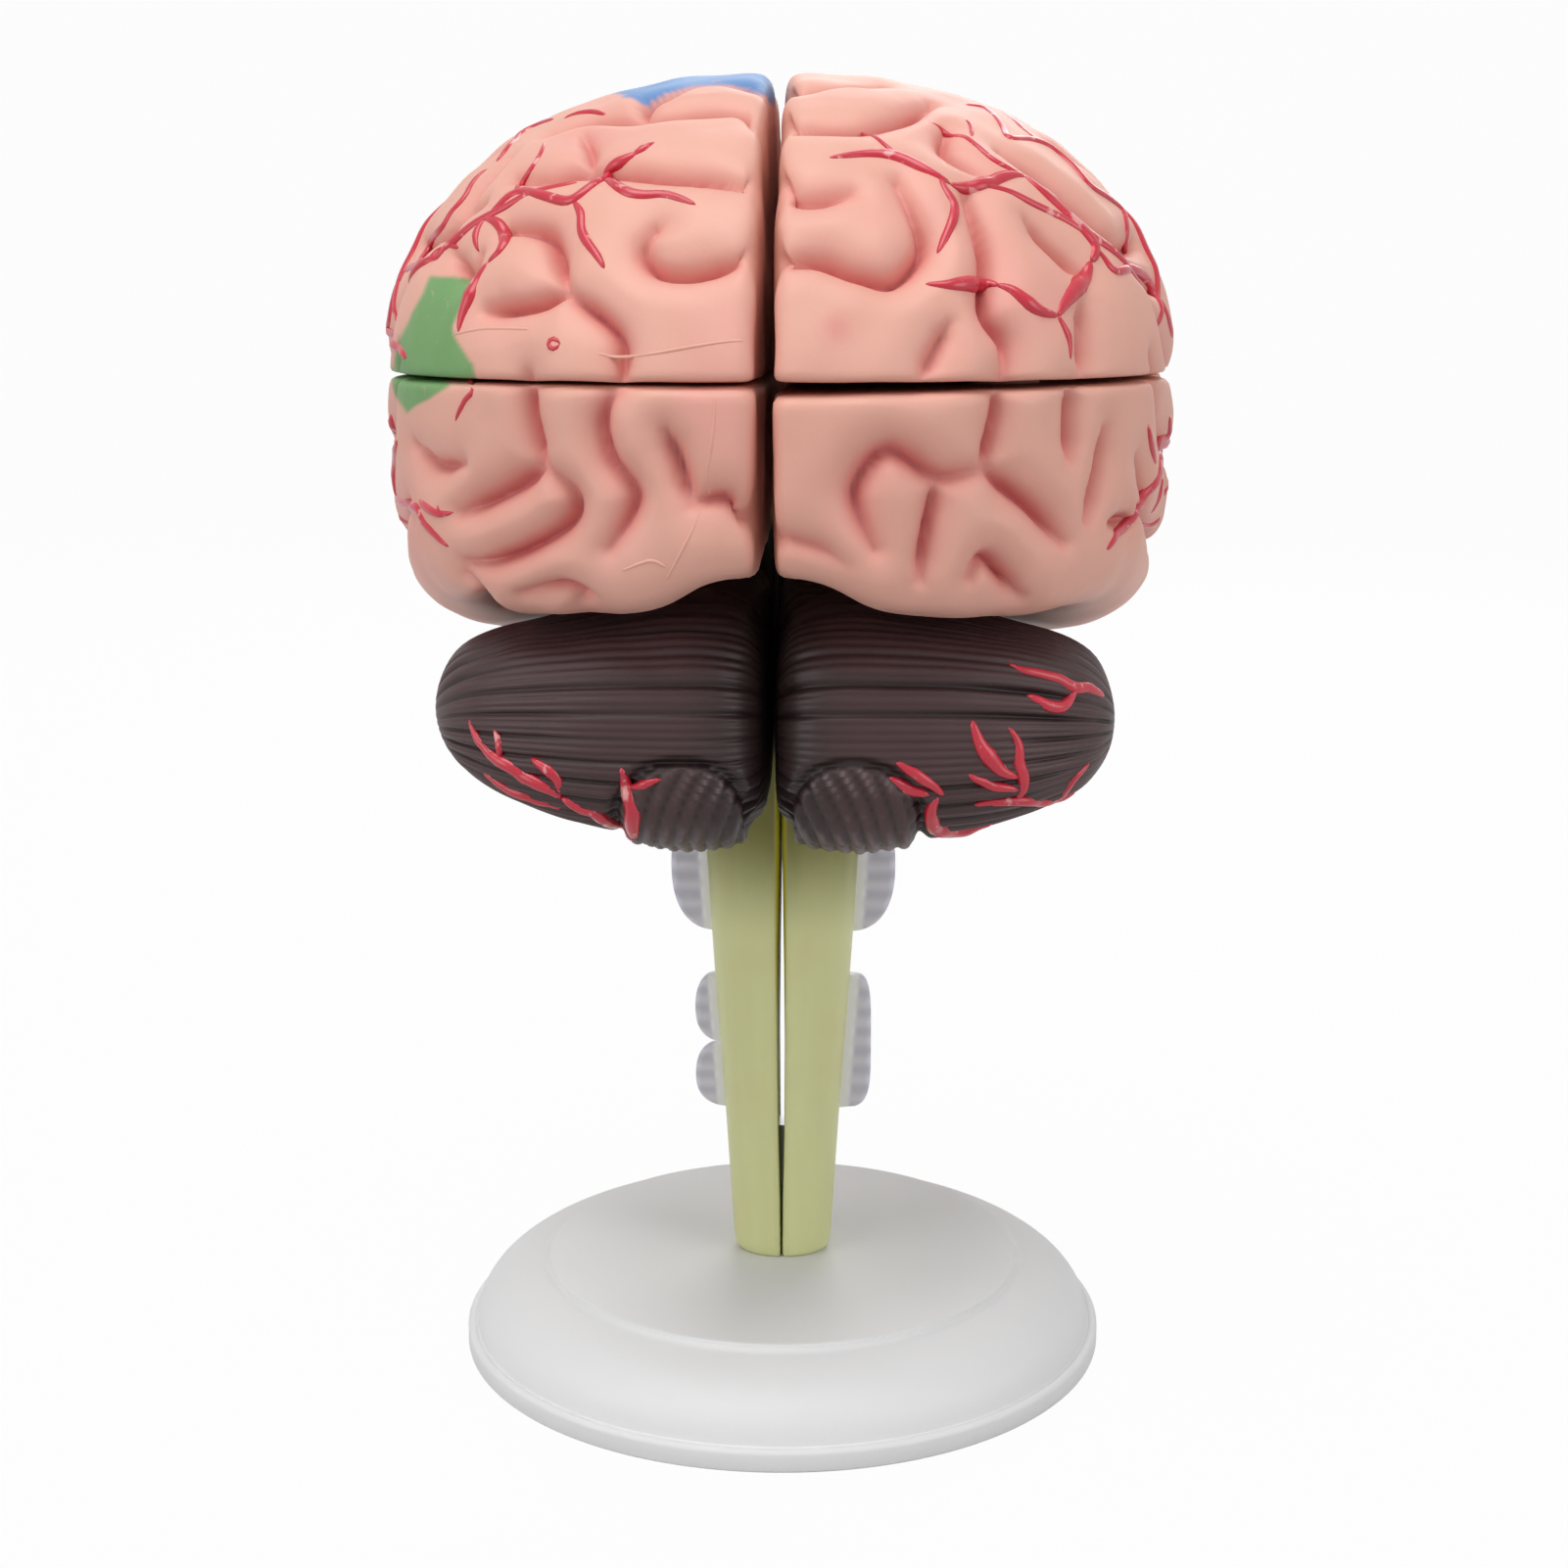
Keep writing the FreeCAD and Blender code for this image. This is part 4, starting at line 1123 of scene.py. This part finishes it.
def cerebrum_vinyl():
    """Pink soft vinyl, with rose paint brushed into the folds and the blue and green fields."""
    material, tree, shader = new_material("cerebrum_vinyl", 0.48, 0.03, 0.35)
    shader.inputs["Specular IOR Level"].default_value = 0.32
    let_light_in(shader, 0.12, (0.004, 0.002, 0.0012))
    skin = mottled(tree, 55, 3, (228, 170, 152), (236, 180, 163))
    warm = between(tree, mottle(tree, 24, 2), 0.5, 0.72)
    skin = blended(tree, calculated(tree, "MULTIPLY", warm, 0.5), skin, screen_colour(236, 165, 155))
    brushed = calculated(tree, "MULTIPLY_ADD", mottle(tree, 130, 3), 0.9, 0.5)
    amount = calculated(tree, "MULTIPLY", mark(tree, "rose"), brushed)
    skin = blended(tree, amount, skin, screen_colour(218, 118, 118))
    flecks = between(tree, mottle(tree, 420, 4), 0.62, 0.72)
    for field, missed, scale, first, second in (
        ("green", -0.25, 70, (92, 150, 90), (120, 170, 108)),
        ("blue", -0.3, 90, (58, 120, 186), (112, 162, 210)),
    ):
        laid_on = calculated(tree, "MULTIPLY_ADD", flecks, missed, 0.95)
        laid_on = calculated(tree, "MULTIPLY", mark(tree, field), laid_on)
        skin = blended(tree, laid_on, skin, mottled(tree, scale, 3, first, second))
    tree.links.new(skin, shader.inputs["Base Color"])
    vary_roughness(tree, shader, mottle(tree, 45, 2), 0.42, 0.56)
    raise_grain(tree, shader, mottle(tree, 330, 3), 0.00008)
    return material


lift_across = 38.0
lift_forwards = (-42.0, 2.0)
lift_socket_drop = 12.6
lift_socket_length = 22.2
lift_seat_radius = 5.5
lift_seat_length = 4.0
stem_cutter_cells = (16, 20, 90)
upper_half_sizes = (35, 84, 32)
upper_cells = (84, 180, 84)
lower_half_sizes = (35, 66, 26)
lower_cells = (80, 150, 60)
stem_cutter = stem_shape("stem_cutter", 0, stem_room, stem_cutter_cells)
vinyl = cerebrum_vinyl()
lift_sockets = {}
castings = {}
for side, sign, rear_folds, gaps in (
    ("right", 1, rear_right_folds, (1.9, 0.6)),
    ("left", -1, rear_left_folds, (0.5, 0.5)),
):
    folds = laid_folds(rear_folds)
    parting_gap[:] = gaps
    for part, level, centre, half_sizes, cells in (
        ("upper", upper_level, upper_centre, upper_half_sizes, upper_cells),
        ("lower", lower_level, lower_centre, lower_half_sizes, lower_cells),
    ):
        name = part + "_cerebrum_" + side
        piece = sculpt_cerebrum(name + "_skin", level, centre, half_sizes, cells, folds, side == "left")
        paint_fields(piece, side == "left", part == "upper")
        castings[part + "_" + side] = piece
        piece.data.materials.append(vinyl)
        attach(piece, part + "_" + side)
        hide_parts(name)
    lift_sockets[side] = [
        round_cutter(
            "lift_cutter", socket_radius, (sign * lift_across, forward, cut_height - lift_socket_drop),
            (0, 0, 1), lift_socket_length,
        ) for forward in lift_forwards
    ]
    cut_away(castings["upper_" + side], lift_sockets[side])
    cut_away(castings["lower_" + side], [stem_cutter, side_cutters[side]] + lift_sockets[side])
    for n, forward in enumerate(lift_forwards):
        seat = round_cutter(
            "lift_seat_" + side + "_" + str(n + 1), lift_seat_radius,
            (sign * lift_across, forward, cut_height - lift_seat_length), (0, 0, 1), lift_seat_length,
        )
        cut_away(seat, [lift_sockets[side][n]])
        put_values(seat, "rose", np.zeros(len(seat.data.vertices)))
        seat.data.materials.append(vinyl)
        bpy.context.view_layer.objects.active = seat
        bpy.ops.object.shade_smooth_by_angle(angle=math.radians(40))
        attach(seat, "lower_" + side)


# Cerebellum. Two castings of dark grey-brown vinyl, one for each half, with fine leaves that run
# outwards like the pages of a book and a lower lobule whose leaves stand upright. Each half hangs
# on a slanted peg. Places are millimetres, heights are over the parting line.
leaf_half_width = 57.5
leaf_half_depth = 31.0
leaf_top_height = 24.6
leaf_low_height = 20.5
leaf_power = 2.7
leaf_centre = np.array([27.0, -40.0, -58.5])
leaf_edge_power = 6.0
leaf_cap_power = 12.0
leaf_cap_clearance = 1.0
slope_way = (0.415, -0.91)
slope_reaches = {"right": 34.0, "left": 29.5}
slope_power = 8.0
tonsil_middle = (15.0, -38.0, -13.0)
tonsil_sizes = (13.5, 16.0, 9.5)
vermis_middle = (0.0, -34.0, 12.0)
vermis_sizes = (21.0, 23.0, 17.0)
page_crowding = 0.45
ring_shares = [0.0, 0.42, 0.92, 1.0]
ring_turns = [0.0, 90.0, 138.0, 180.0]
group_pitch = 8.0
page_pitch = 2.65
group_depth = 0.6
page_depth = 0.24
lobule_middle = (13.5, -12.0)
lobule_half_size = 10.5
lobule_back = (20, 32)
lobule_top = 14
lobule_top_fade = 4
lobule_edge = 1.05
lobule_edge_fade = 0.15
lobule_groove_place = 1.08
lobule_groove_width = 0.1
lobule_groove = 1.5
fan_pitch = 2.4
fan_depth = 0.8
fan_closing = 0.012
fan_bow = 0.005
page_wave = 1.2
page_bow = 3.5
under_depth = 1.2
under_step = (8, 16)
leaf_wave_depth = 0.15
leaf_wave_size = 12
middle_fade = 1.5
leaf_segments = 480
leaf_rings = 84
leaf_ease = 0.7


def rounded_blob(p, middle, sizes):
    """Under 1 inside an ellipsoid."""
    return np.linalg.norm((p - np.array(middle)) / np.array(sizes), axis=1)


def cerebellum_parts(p, slope_reach):
    """Levels of the cerebellum's body, of its lower lobule and of its middle ridge."""
    x, y = p[:, 0], p[:, 1]
    z = p[:, 2] - leaf_centre[2]
    body = abs(x / leaf_half_width) ** leaf_power + abs((y - leaf_centre[1]) / leaf_half_depth) ** leaf_power
    body += abs(z / np.where(z > 0, leaf_top_height, leaf_low_height)) ** leaf_power
    slope = np.maximum(0, (x * slope_way[0] + z * slope_way[1]) / slope_reach)
    body = (body ** (slope_power / leaf_power) + slope ** slope_power) ** (1 / slope_power)
    raised = np.stack([x, y, z], axis=1)
    tonsil = rounded_blob(raised, tonsil_middle, tonsil_sizes)
    return body, tonsil, rounded_blob(raised, vermis_middle, vermis_sizes)


def cerebellum_level(p, slope_reach):
    """Under 1 inside half of the cerebellum, whose top stays under the cerebrum."""
    outer = np.min(cerebellum_parts(p, slope_reach), axis=0)
    inner = np.maximum(0, (leaf_centre[0] - p[:, 0]) / (leaf_centre[0] - mid_plane))
    outer = (outer ** leaf_edge_power + inner ** leaf_edge_power) ** (1 / leaf_edge_power)
    room = underside(p[:, 0], p[:, 1]) - leaf_cap_clearance - leaf_centre[2]
    rise = np.maximum(0, (p[:, 2] - leaf_centre[2]) / room)
    return (outer ** leaf_cap_power + rise ** leaf_cap_power) ** (1 / leaf_cap_power)


def leaf_ways(ball):
    """Ways from the middle of a half to its skin, closed up towards the back like a book's pages."""
    x, y, z = ball.T
    turn = np.interp(np.arccos(np.clip(x, -1, 1)) / math.pi, ring_shares, np.radians(ring_turns))
    page = np.arctan2(z, -y)
    page -= page_crowding * np.sin(page)
    ways = np.stack([np.cos(turn), -np.sin(turn) * np.cos(page), np.sin(turn) * np.sin(page)], axis=1)
    ways = ways * np.array([leaf_centre[0], leaf_half_depth, leaf_half_depth])
    return ways / np.linalg.norm(ways, axis=1, keepdims=True)


def leaf_grooves(skin, ways, seed):
    """How deep each point is cut by the leaves, how much painted shade it takes in its grooves and how much
    painted highlight on its ridges.
    """
    low = skin[:, 2] - leaf_centre[2]
    around = np.hypot(skin[:, 0] - lobule_middle[0], np.maximum(0, low - lobule_middle[1])) / lobule_half_size
    behind = eased(-skin[:, 1], lobule_back) * ease((lobule_middle[1] + lobule_top - low) / lobule_top_fade)
    on_tonsil = ease((lobule_edge - around) / lobule_edge_fade) * behind
    round_it = np.exp(-((around - lobule_groove_place) / lobule_groove_width) ** 2) * behind
    on_side = ease(abs(skin[:, 0] - mid_plane) / middle_fade)
    spread = np.hypot(ways[:, 1], ways[:, 2])
    page = np.degrees(np.arctan2(ways[:, 2], -ways[:, 1]))
    bow = page_bow * np.sin(np.radians(3.3 * page + 20 * seed))
    page = page + page_wave * wavy(skin * np.array([0.4, 1, 1]), 34, seed) + bow
    group = (0.5 + 0.5 * np.cos(2 * math.pi * page / group_pitch)) ** 3
    strength = np.clip(0.8 + 0.9 * wavy(skin * np.array([0.15, 1, 1]), 11, seed + 7), 0.1, 2.2)
    fine = (0.5 + 0.5 * np.cos(2 * math.pi * page / page_pitch)) ** 1.5
    away = 1 - on_tonsil
    sink = group_depth * ease(spread * 2.2 - 0.3) * group * strength * away
    near = ease((np.cos(np.radians(page)) + 0.35) / 0.5) * ease(spread * 1.6 - 0.35)
    sink += page_depth * fine * near * away * (0.8 + 0.5 * wavy(skin, 20, seed + 3))
    risen = low - lobule_middle[1] + lobule_half_size
    fan = (skin[:, 0] - lobule_middle[0]) / fan_pitch * (1 - fan_closing * risen) + fan_bow * risen ** 2
    leaf = abs(np.sin(math.pi * fan))
    sink += fan_depth * (1 - leaf ** leaf_ease) * on_tonsil + lobule_groove * round_it
    sink += under_depth * eased(-low, under_step) * away
    sink = (sink + leaf_wave_depth * wavy(skin, leaf_wave_size, seed + 5) + leaf_wave_depth) * on_side
    # Painted shade: darker in the leaf grooves, in the grooves between the lower lobule's leaves and in the
    # groove round it.
    dark = (0.6 * group * strength + 0.35 * fine * near) * away
    dark = dark + 0.8 * (1 - leaf ** leaf_ease) * on_tonsil + round_it
    # The third value is a painted highlight along the crests of the lower lobule's leaves.
    return sink, np.clip(dark, 0, 1), on_tonsil * ease((leaf - 0.93) / 0.05)


def sculpt_cerebellum(name, slope_reach, left):
    """Half a cerebellum: a sphere pushed onto its form, with its leaves cut in."""
    bpy.ops.object.select_all(action="DESELECT")
    bpy.ops.mesh.primitive_uv_sphere_add(
        segments=leaf_segments, ring_count=leaf_rings, radius=1, rotation=(0, math.pi / 2, 0),
    )
    piece = bpy.context.object
    piece.name = name
    bpy.ops.object.transform_apply(location=True, rotation=True, scale=True)
    ways = leaf_ways(points_of(piece))

    def level(p):
        return cerebellum_level(p, slope_reach)

    skin = leaf_centre + ways * reach(level, leaf_centre, ways)[:, None]
    sink, groove, ridge = leaf_grooves(skin, ways, 3 if left else 4)
    skin = skin - skin_way(level, skin) * sink[:, None]
    if left:
        skin[:, 0] *= -1
    put_points(piece, skin * mm + np.array([0, 0, cut_height * mm]))
    close_skin(piece)
    bpy.ops.object.shade_smooth()
    # The groove values carry painted shade and the ridge values a painted highlight, which the material
    # reads.
    put_values(piece, "groove", groove)
    put_values(piece, "ridge", ridge)
    return piece


def cerebellum_vinyl():
    """Dark grey-brown vinyl with a soft sheen, painted shade in the grooves and towards the middle plane, and
    a painted mauve highlight on the ridges.
    """
    material, tree, shader = new_material("cerebellum_vinyl", 0.45, 0.1, 0.25)
    shader.inputs["Specular IOR Level"].default_value = 0.35
    parts = tree.nodes.new("ShaderNodeSeparateXYZ")
    tree.links.new(place_on_piece(tree), parts.inputs[0])
    streaks = mottle(tree, 110, 3, (0.25, 1, 1))
    colour = blended(tree, streaks, screen_colour(62, 40, 40), screen_colour(86, 61, 63))
    # Painted shade: near black towards the middle plane, where the two halves meet.
    out = between(tree, calculated(tree, "ABSOLUTE", parts.outputs["X"]), 0.002, 0.016)
    colour = blended(tree, calculated(tree, "MULTIPLY_ADD", out, 0.7, 0.3), screen_colour(22, 16, 14), colour)
    # Painted shade in the grooves.
    colour = blended(tree, mark(tree, "groove"), colour, screen_colour(34, 20, 20))
    # Painted highlight: mauve-grey on the ridge crests, broken up by the streaks.
    ridge_highlight = calculated(tree, "MULTIPLY", mark(tree, "ridge"), between(tree, streaks, 0.35, 0.6))
    colour = blended(tree, calculated(tree, "MULTIPLY", ridge_highlight, 0.6), colour, screen_colour(134, 118, 124))
    tree.links.new(colour, shader.inputs["Base Color"])
    vary_roughness(tree, shader, mottle(tree, 60, 3), 0.42, 0.6)
    raise_grain(tree, shader, mottle(tree, 380, 3, (0.3, 1, 1)), 0.00007)
    return material


leaf_material = cerebellum_vinyl()
for side, slope_reach in slope_reaches.items():
    half = sculpt_cerebellum("cerebellum_" + side + "_skin", slope_reach, side == "left")
    half.data.materials.append(leaf_material)
    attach(half, "cerebellum_" + side)
    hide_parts("cerebellum_" + side)
    castings["cerebellum_" + side] = half
    cut_away(half, [stem_cutter, cerebellum_cutters[side]])

cutters = [stem_cutter] + joining_sockets + rod_cutters + lift_sockets["right"] + lift_sockets["left"]
for cutter in cutters + list(side_cutters.values()) + list(cerebellum_cutters.values()):
    bpy.data.objects.remove(cutter)


# Blood vessels. They are moulded on the castings as raised cords and painted red by hand. Each is
# given as its width at the start, middle and end in millimetres and its points in the
# photograph's pixels, which are thrown from the camera onto the casting.
vessel_paths = {
    "upper_left": [
        (1.2, 1.6, 1.5, [(668, 145), (656, 152), (646, 158)]),
        (1.9, 2.4, 1.9, [(650, 156), (637, 163), (621, 173), (617, 181)]),
        (1.7, 1.6, 1.5, [(621, 175), (608, 187), (592, 199), (581, 205), (568, 203), (551, 198), (535, 195),
                         (522, 199), (509, 210), (498, 221)]),
        (1.3, 1.8, 0.9, [(617, 181), (629, 189), (643, 197), (659, 199), (677, 198), (693, 202),
                         (710, 209)]),
        (1.2, 1.4, 0.9, [(586, 206), (593, 218), (593, 234), (600, 248), (610, 261), (617, 274)]),
        (0.7, 1.0, 0.9, [(556, 146), (551, 159), (541, 175), (533, 189), (527, 195)]),
        (1.5, 1.9, 1.5, [(495, 223), (506, 226), (515, 237), (515, 248), (509, 258), (498, 268)]),
        (1.4, 1.4, 0.9, [(495, 223), (487, 234), (485, 245), (489, 257)]),
        (1.5, 2.4, 1.4, [(498, 268), (490, 280), (483, 293), (478, 306), (472, 320), (468, 339)]),
        (1.0, 1.5, 1.4, [(468, 253), (460, 250), (451, 254), (443, 261), (434, 268), (423, 272),
                         (415, 275)]),
        (1.4, 1.7, 1.2, [(415, 275), (405, 288), (397, 309), (393, 325), (396, 339), (407, 355),
                         (415, 365)]),
        (1.0, 1.3, 1.1, [(427, 268), (439, 250), (450, 234), (460, 218), (468, 209), (476, 199), (481, 189),
                         (490, 178), (497, 173)]),
        (1.0, 1.3, 1.1, [(507, 165), (519, 150), (530, 138), (541, 128), (553, 121), (565, 122)]),
        (1.0, 1.1, 0.8, [(576, 121), (589, 116), (605, 114), (618, 117)]),
        (0.7, 0.7, 0.7, [(572, 351), (570, 356), (565, 358), (560, 356), (558, 351), (560, 346), (565, 344),
                         (570, 346), (572, 351)]),
    ],
    "upper_right": [
        (1.0, 2.0, 1.6, [(847, 161), (863, 159), (881, 157), (902, 157), (920, 161), (939, 170), (957, 179),
                         (970, 188)]),
        (1.7, 2.3, 1.8, [(970, 188), (980, 192), (999, 189), (1017, 183), (1035, 178), (1046, 180)]),
        (0.6, 0.9, 0.9, [(881, 136), (894, 140), (905, 149), (915, 157)]),
        (1.3, 1.5, 0.9, [(960, 182), (967, 196), (975, 209), (974, 222), (966, 240), (957, 259)]),
        (0.7, 1.0, 1.2, [(949, 125), (962, 133), (973, 139), (986, 140), (999, 150), (1014, 163),
                         (1030, 172), (1043, 179)]),
        (0.6, 0.8, 0.6, [(986, 122), (992, 129), (992, 139)]),
        (1.6, 1.9, 2.4, [(1046, 180), (1064, 195), (1082, 212), (1101, 230), (1119, 252), (1114, 267)]),
        (2.4, 2.5, 1.6, [(1114, 267), (1109, 280), (1106, 285), (1090, 306), (1080, 322)]),
        (1.5, 2.2, 1.3, [(1080, 322), (1064, 318), (1048, 307), (1033, 295), (1017, 291)]),
        (1.6, 2.3, 1.0, [(1020, 292), (1006, 290), (994, 290), (970, 291), (945, 290)]),
        (1.3, 1.5, 1.0, [(1080, 322), (1086, 333), (1092, 348), (1093, 367)]),
        (0.9, 1.4, 1.3, [(986, 107), (1004, 110), (1017, 120), (1025, 132), (1031, 141), (1051, 142),
                         (1072, 150), (1093, 167), (1111, 188), (1130, 201), (1145, 214), (1150, 235),
                         (1149, 259)]),
        (0.6, 0.9, 0.6, [(1025, 116), (1041, 128), (1056, 141)]),
        (1.3, 1.5, 1.1, [(1120, 254), (1130, 267), (1140, 277), (1161, 277), (1174, 290), (1183, 306),
                         (1192, 324), (1197, 345)]),
    ],
    "lower_left": [
        (1.2, 1.4, 0.8, [(486, 379), (481, 391), (474, 408), (468, 421), (465, 430)]),
        (2.2, 3.0, 1.6, [(400, 424), (401, 434), (404, 444)]),
        (1.6, 1.7, 1.5, [(403, 450), (401, 472), (403, 491), (405, 507)]),
        (1.4, 1.8, 1.0, [(405, 508), (415, 515), (426, 519), (431, 531), (442, 544), (458, 558)]),
        (1.2, 1.3, 0.8, [(428, 511), (439, 521), (450, 525), (463, 523)]),
        (0.8, 1.0, 0.9, [(447, 516), (448, 527)]),
    ],
    "lower_right": [
        (1.4, 1.7, 1.2, [(1194, 426), (1191, 447), (1187, 466), (1183, 485), (1175, 499), (1164, 515),
                         (1149, 535), (1139, 546), (1130, 561)]),
        (1.0, 1.2, 0.9, [(1172, 433), (1175, 452), (1180, 474)]),
        (1.2, 1.3, 0.8, [(1187, 488), (1183, 507), (1175, 524)]),
    ],
    "cerebellum_left": [
        (0.9, 1.8, 1.9, [(479, 735), (486, 753), (499, 768), (512, 779), (532, 791), (550, 802),
                         (573, 814)]),
        (1.6, 1.8, 0.8, [(573, 814), (593, 827), (614, 837), (634, 851), (649, 858)]),
        (0.8, 1.4, 1.3, [(504, 745), (509, 758), (509, 774)]),
        (1.2, 1.9, 1.0, [(542, 774), (555, 784), (570, 796), (573, 812)]),
        (1.6, 2.0, 2.6, [(634, 784), (639, 802), (644, 825), (647, 855)]),
        (0.8, 1.3, 1.3, [(675, 796), (660, 800), (642, 804)]),
        (1.0, 1.5, 1.0, [(494, 789), (514, 804), (545, 817), (573, 825)]),
    ],
    "cerebellum_right": [
        (1.0, 1.7, 1.5, [(1030, 677), (1043, 683), (1063, 687), (1081, 693), (1099, 701), (1114, 703),
                         (1127, 710)]),
        (1.3, 1.6, 1.2, [(1048, 710), (1063, 716), (1081, 724), (1094, 712), (1099, 702)]),
        (1.5, 2.3, 1.4, [(992, 735), (1000, 758), (1012, 776), (1025, 789), (1040, 794)]),
        (0.9, 1.7, 1.5, [(1030, 743), (1040, 758), (1040, 779), (1046, 799), (1038, 817)]),
        (1.2, 1.4, 1.2, [(989, 791), (1000, 798), (1015, 802), (1040, 807)]),
        (1.2, 1.4, 1.0, [(995, 822), (1012, 818), (1038, 817), (1063, 819), (1089, 821), (1112, 814)]),
        (0.8, 1.2, 1.0, [(1112, 779), (1094, 799), (1081, 819)]),
        (1.2, 1.5, 1.2, [(915, 779), (933, 789), (951, 802), (964, 812)]),
        (1.4, 2.4, 1.6, [(958, 814), (951, 825), (951, 842), (964, 850), (989, 853), (1015, 845)]),
        (1.2, 2.8, 1.2, [(908, 794), (926, 804), (949, 812)]),
    ],
}
side_vessels = {
    "upper": [
        (1.4, 1.7, 1.0, [(-32, 6), (-24, 16), (-20, 28), (-24, 38)]),
        (1.4, 1.6, 0.9, [(-34, 10), (-46, 20), (-56, 30)]),
        (1.2, 1.6, 0.9, [(20, 2), (14, 14), (16, 26), (10, 38)]),
        (1.3, 1.6, 0.8, [(40, -8), (46, 4), (44, 18), (50, 28)]),
    ],
    "lower": [
        (1.5, 1.7, 1.0, [(30, -15), (14, -20), (0, -22), (-12, -28)]),
        (1.2, 1.5, 0.9, [(6, -9), (-8, -12), (-22, -12), (-34, -8)]),
        (1.2, 1.4, 0.8, [(-10, -14), (-20, -22), (-34, -26)]),
    ],
}
mould_lines = {
    "upper_left": [[(464, 341), (500, 335), (540, 336)], [(610, 361), (660, 362), (700, 355), (760, 348)]],
    "lower_left": [[(730, 405), (728, 440), (724, 505)], [(715, 520), (705, 545), (680, 592)],
                   [(635, 583), (665, 572), (680, 580)]],
}
cord_step = 0.7
cord_sunk = 0.42
cord_swell = 1.35
cord_tip_share = 0.2
cord_tip_length = 4
search_steps = 60
search_pixels = 1.5
mould_line_widths = (0.35, 0.5, 0.35)


def skin_tree(piece):
    """A casting's faces, sorted for finding where a ray meets them."""
    cage = bmesh.new()
    cage.from_mesh(piece.data)
    tree = BVHTree.FromBMesh(cage)
    cage.free()
    return tree


def seen_place(tree, pixel, middle):
    """Where the camera's ray through a pixel meets a casting, stepping inwards if it misses."""
    pixel = np.array(pixel, float)
    inward = (middle - pixel) / np.linalg.norm(middle - pixel)
    for step in range(search_steps):
        column, row = pixel + search_pixels * step * inward
        way = camera_forward * lens_pixels + camera_right * (column - axis_column)
        way = way + camera_up * (photo_size / 2 - row)
        place = tree.ray_cast(camera_place, Vector(way).normalized())[0]
        if place:
            return place
    return None


def lay_cords(name, tree, cords, material, body):
    """Cords of changing width along paths on a casting, half sunk in it, as one piece."""
    bpy.ops.object.select_all(action="DESELECT")
    bpy.ops.curve.primitive_bezier_curve_add(location=(0, 0, 0))
    piece = bpy.context.object
    piece.name = name
    drawn = piece.data
    drawn.splines.clear()
    drawn.bevel_depth = mm
    drawn.bevel_resolution = 2
    drawn.use_fill_caps = True
    for widths, places in cords:
        line = smooth_line(np.array(places) / mm, cord_step) * mm
        n = np.arange(len(line)) / max(1, len(line) - 1)
        radii = cord_swell * np.interp(n, [0, 0.5, 1], widths) / 2
        ends = np.minimum(n, n[::-1]) * len(line) * cord_step
        tip = np.sqrt(np.clip(ends / (cord_tip_length * radii), 0, 1))
        radii *= cord_tip_share + (1 - cord_tip_share) * tip
        laid = []
        for place, radius in zip(line, radii):
            near, out = tree.find_nearest(Vector(place))[:2]
            laid.append(np.array(near - out * radius * cord_sunk * mm))
        laid = np.array(laid)
        for _ in range(2):
            laid[1:-1] = 0.5 * laid[1:-1] + 0.25 * (laid[:-2] + laid[2:])
        spline = drawn.splines.new("POLY")
        spline.points.add(len(laid) - 1)
        for point, place, radius in zip(spline.points, laid, radii):
            point.co = (*place, 1)
            point.radius = radius
    bpy.ops.object.convert(target="MESH")
    piece = bpy.context.object
    close_skin(piece)
    bpy.ops.object.shade_smooth()
    piece.data.materials.clear()
    piece.data.materials.append(material)
    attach(piece, body)


def vessel_paint():
    """Glossy red paint laid on by brush, with pale spots that stand both for thin paint where the vinyl shows
    through and for painted highlights.
    """
    material, tree, shader = new_material("vessel_paint", 0.3, 0.3, 0.15)
    colour = mottled(tree, 160, 3, (184, 16, 44), (216, 44, 66))
    # Pale spots: partly thin paint where the vinyl shows through, partly painted highlights on the cords.
    missed = between(tree, mottle(tree, 330, 3), 0.62, 0.69)
    colour = blended(tree, missed, colour, screen_colour(228, 150, 148))
    tree.links.new(colour, shader.inputs["Base Color"])
    vary_roughness(tree, shader, mottle(tree, 200, 2), 0.24, 0.4)
    raise_grain(tree, shader, mottle(tree, 700, 2), 0.00004)
    return material


red_paint = vessel_paint()
for body, paths in vessel_paths.items():
    casting = castings[body]
    tree = skin_tree(casting)
    middle = np.array([np.mean(values) for values in pixels_of(points_of(casting))])
    cords = []
    for *widths, pixels in paths:
        places = [seen_place(tree, pixel, middle) for pixel in pixels]
        cords.append((widths, [place for place in places if place]))
    part, side = body.split("_")
    sign = -1 if side == "left" else 1
    for *widths, points in side_vessels.get(part, []):
        places = [
            tree.ray_cast(Vector((sign * 0.1, y * mm, (cut_height + z) * mm)), Vector((-sign, 0, 0)))[0]
            for y, z in points
        ]
        cords.append((widths, [place for place in places if place]))
    lay_cords("vessels_" + body, tree, cords, red_paint, body)
    if body in mould_lines:
        lines = [
            (mould_line_widths, [seen_place(tree, pixel, middle) for pixel in line])
            for line in mould_lines[body]
        ]
        lay_cords("mould_lines_" + body, tree, lines, vinyl, body)
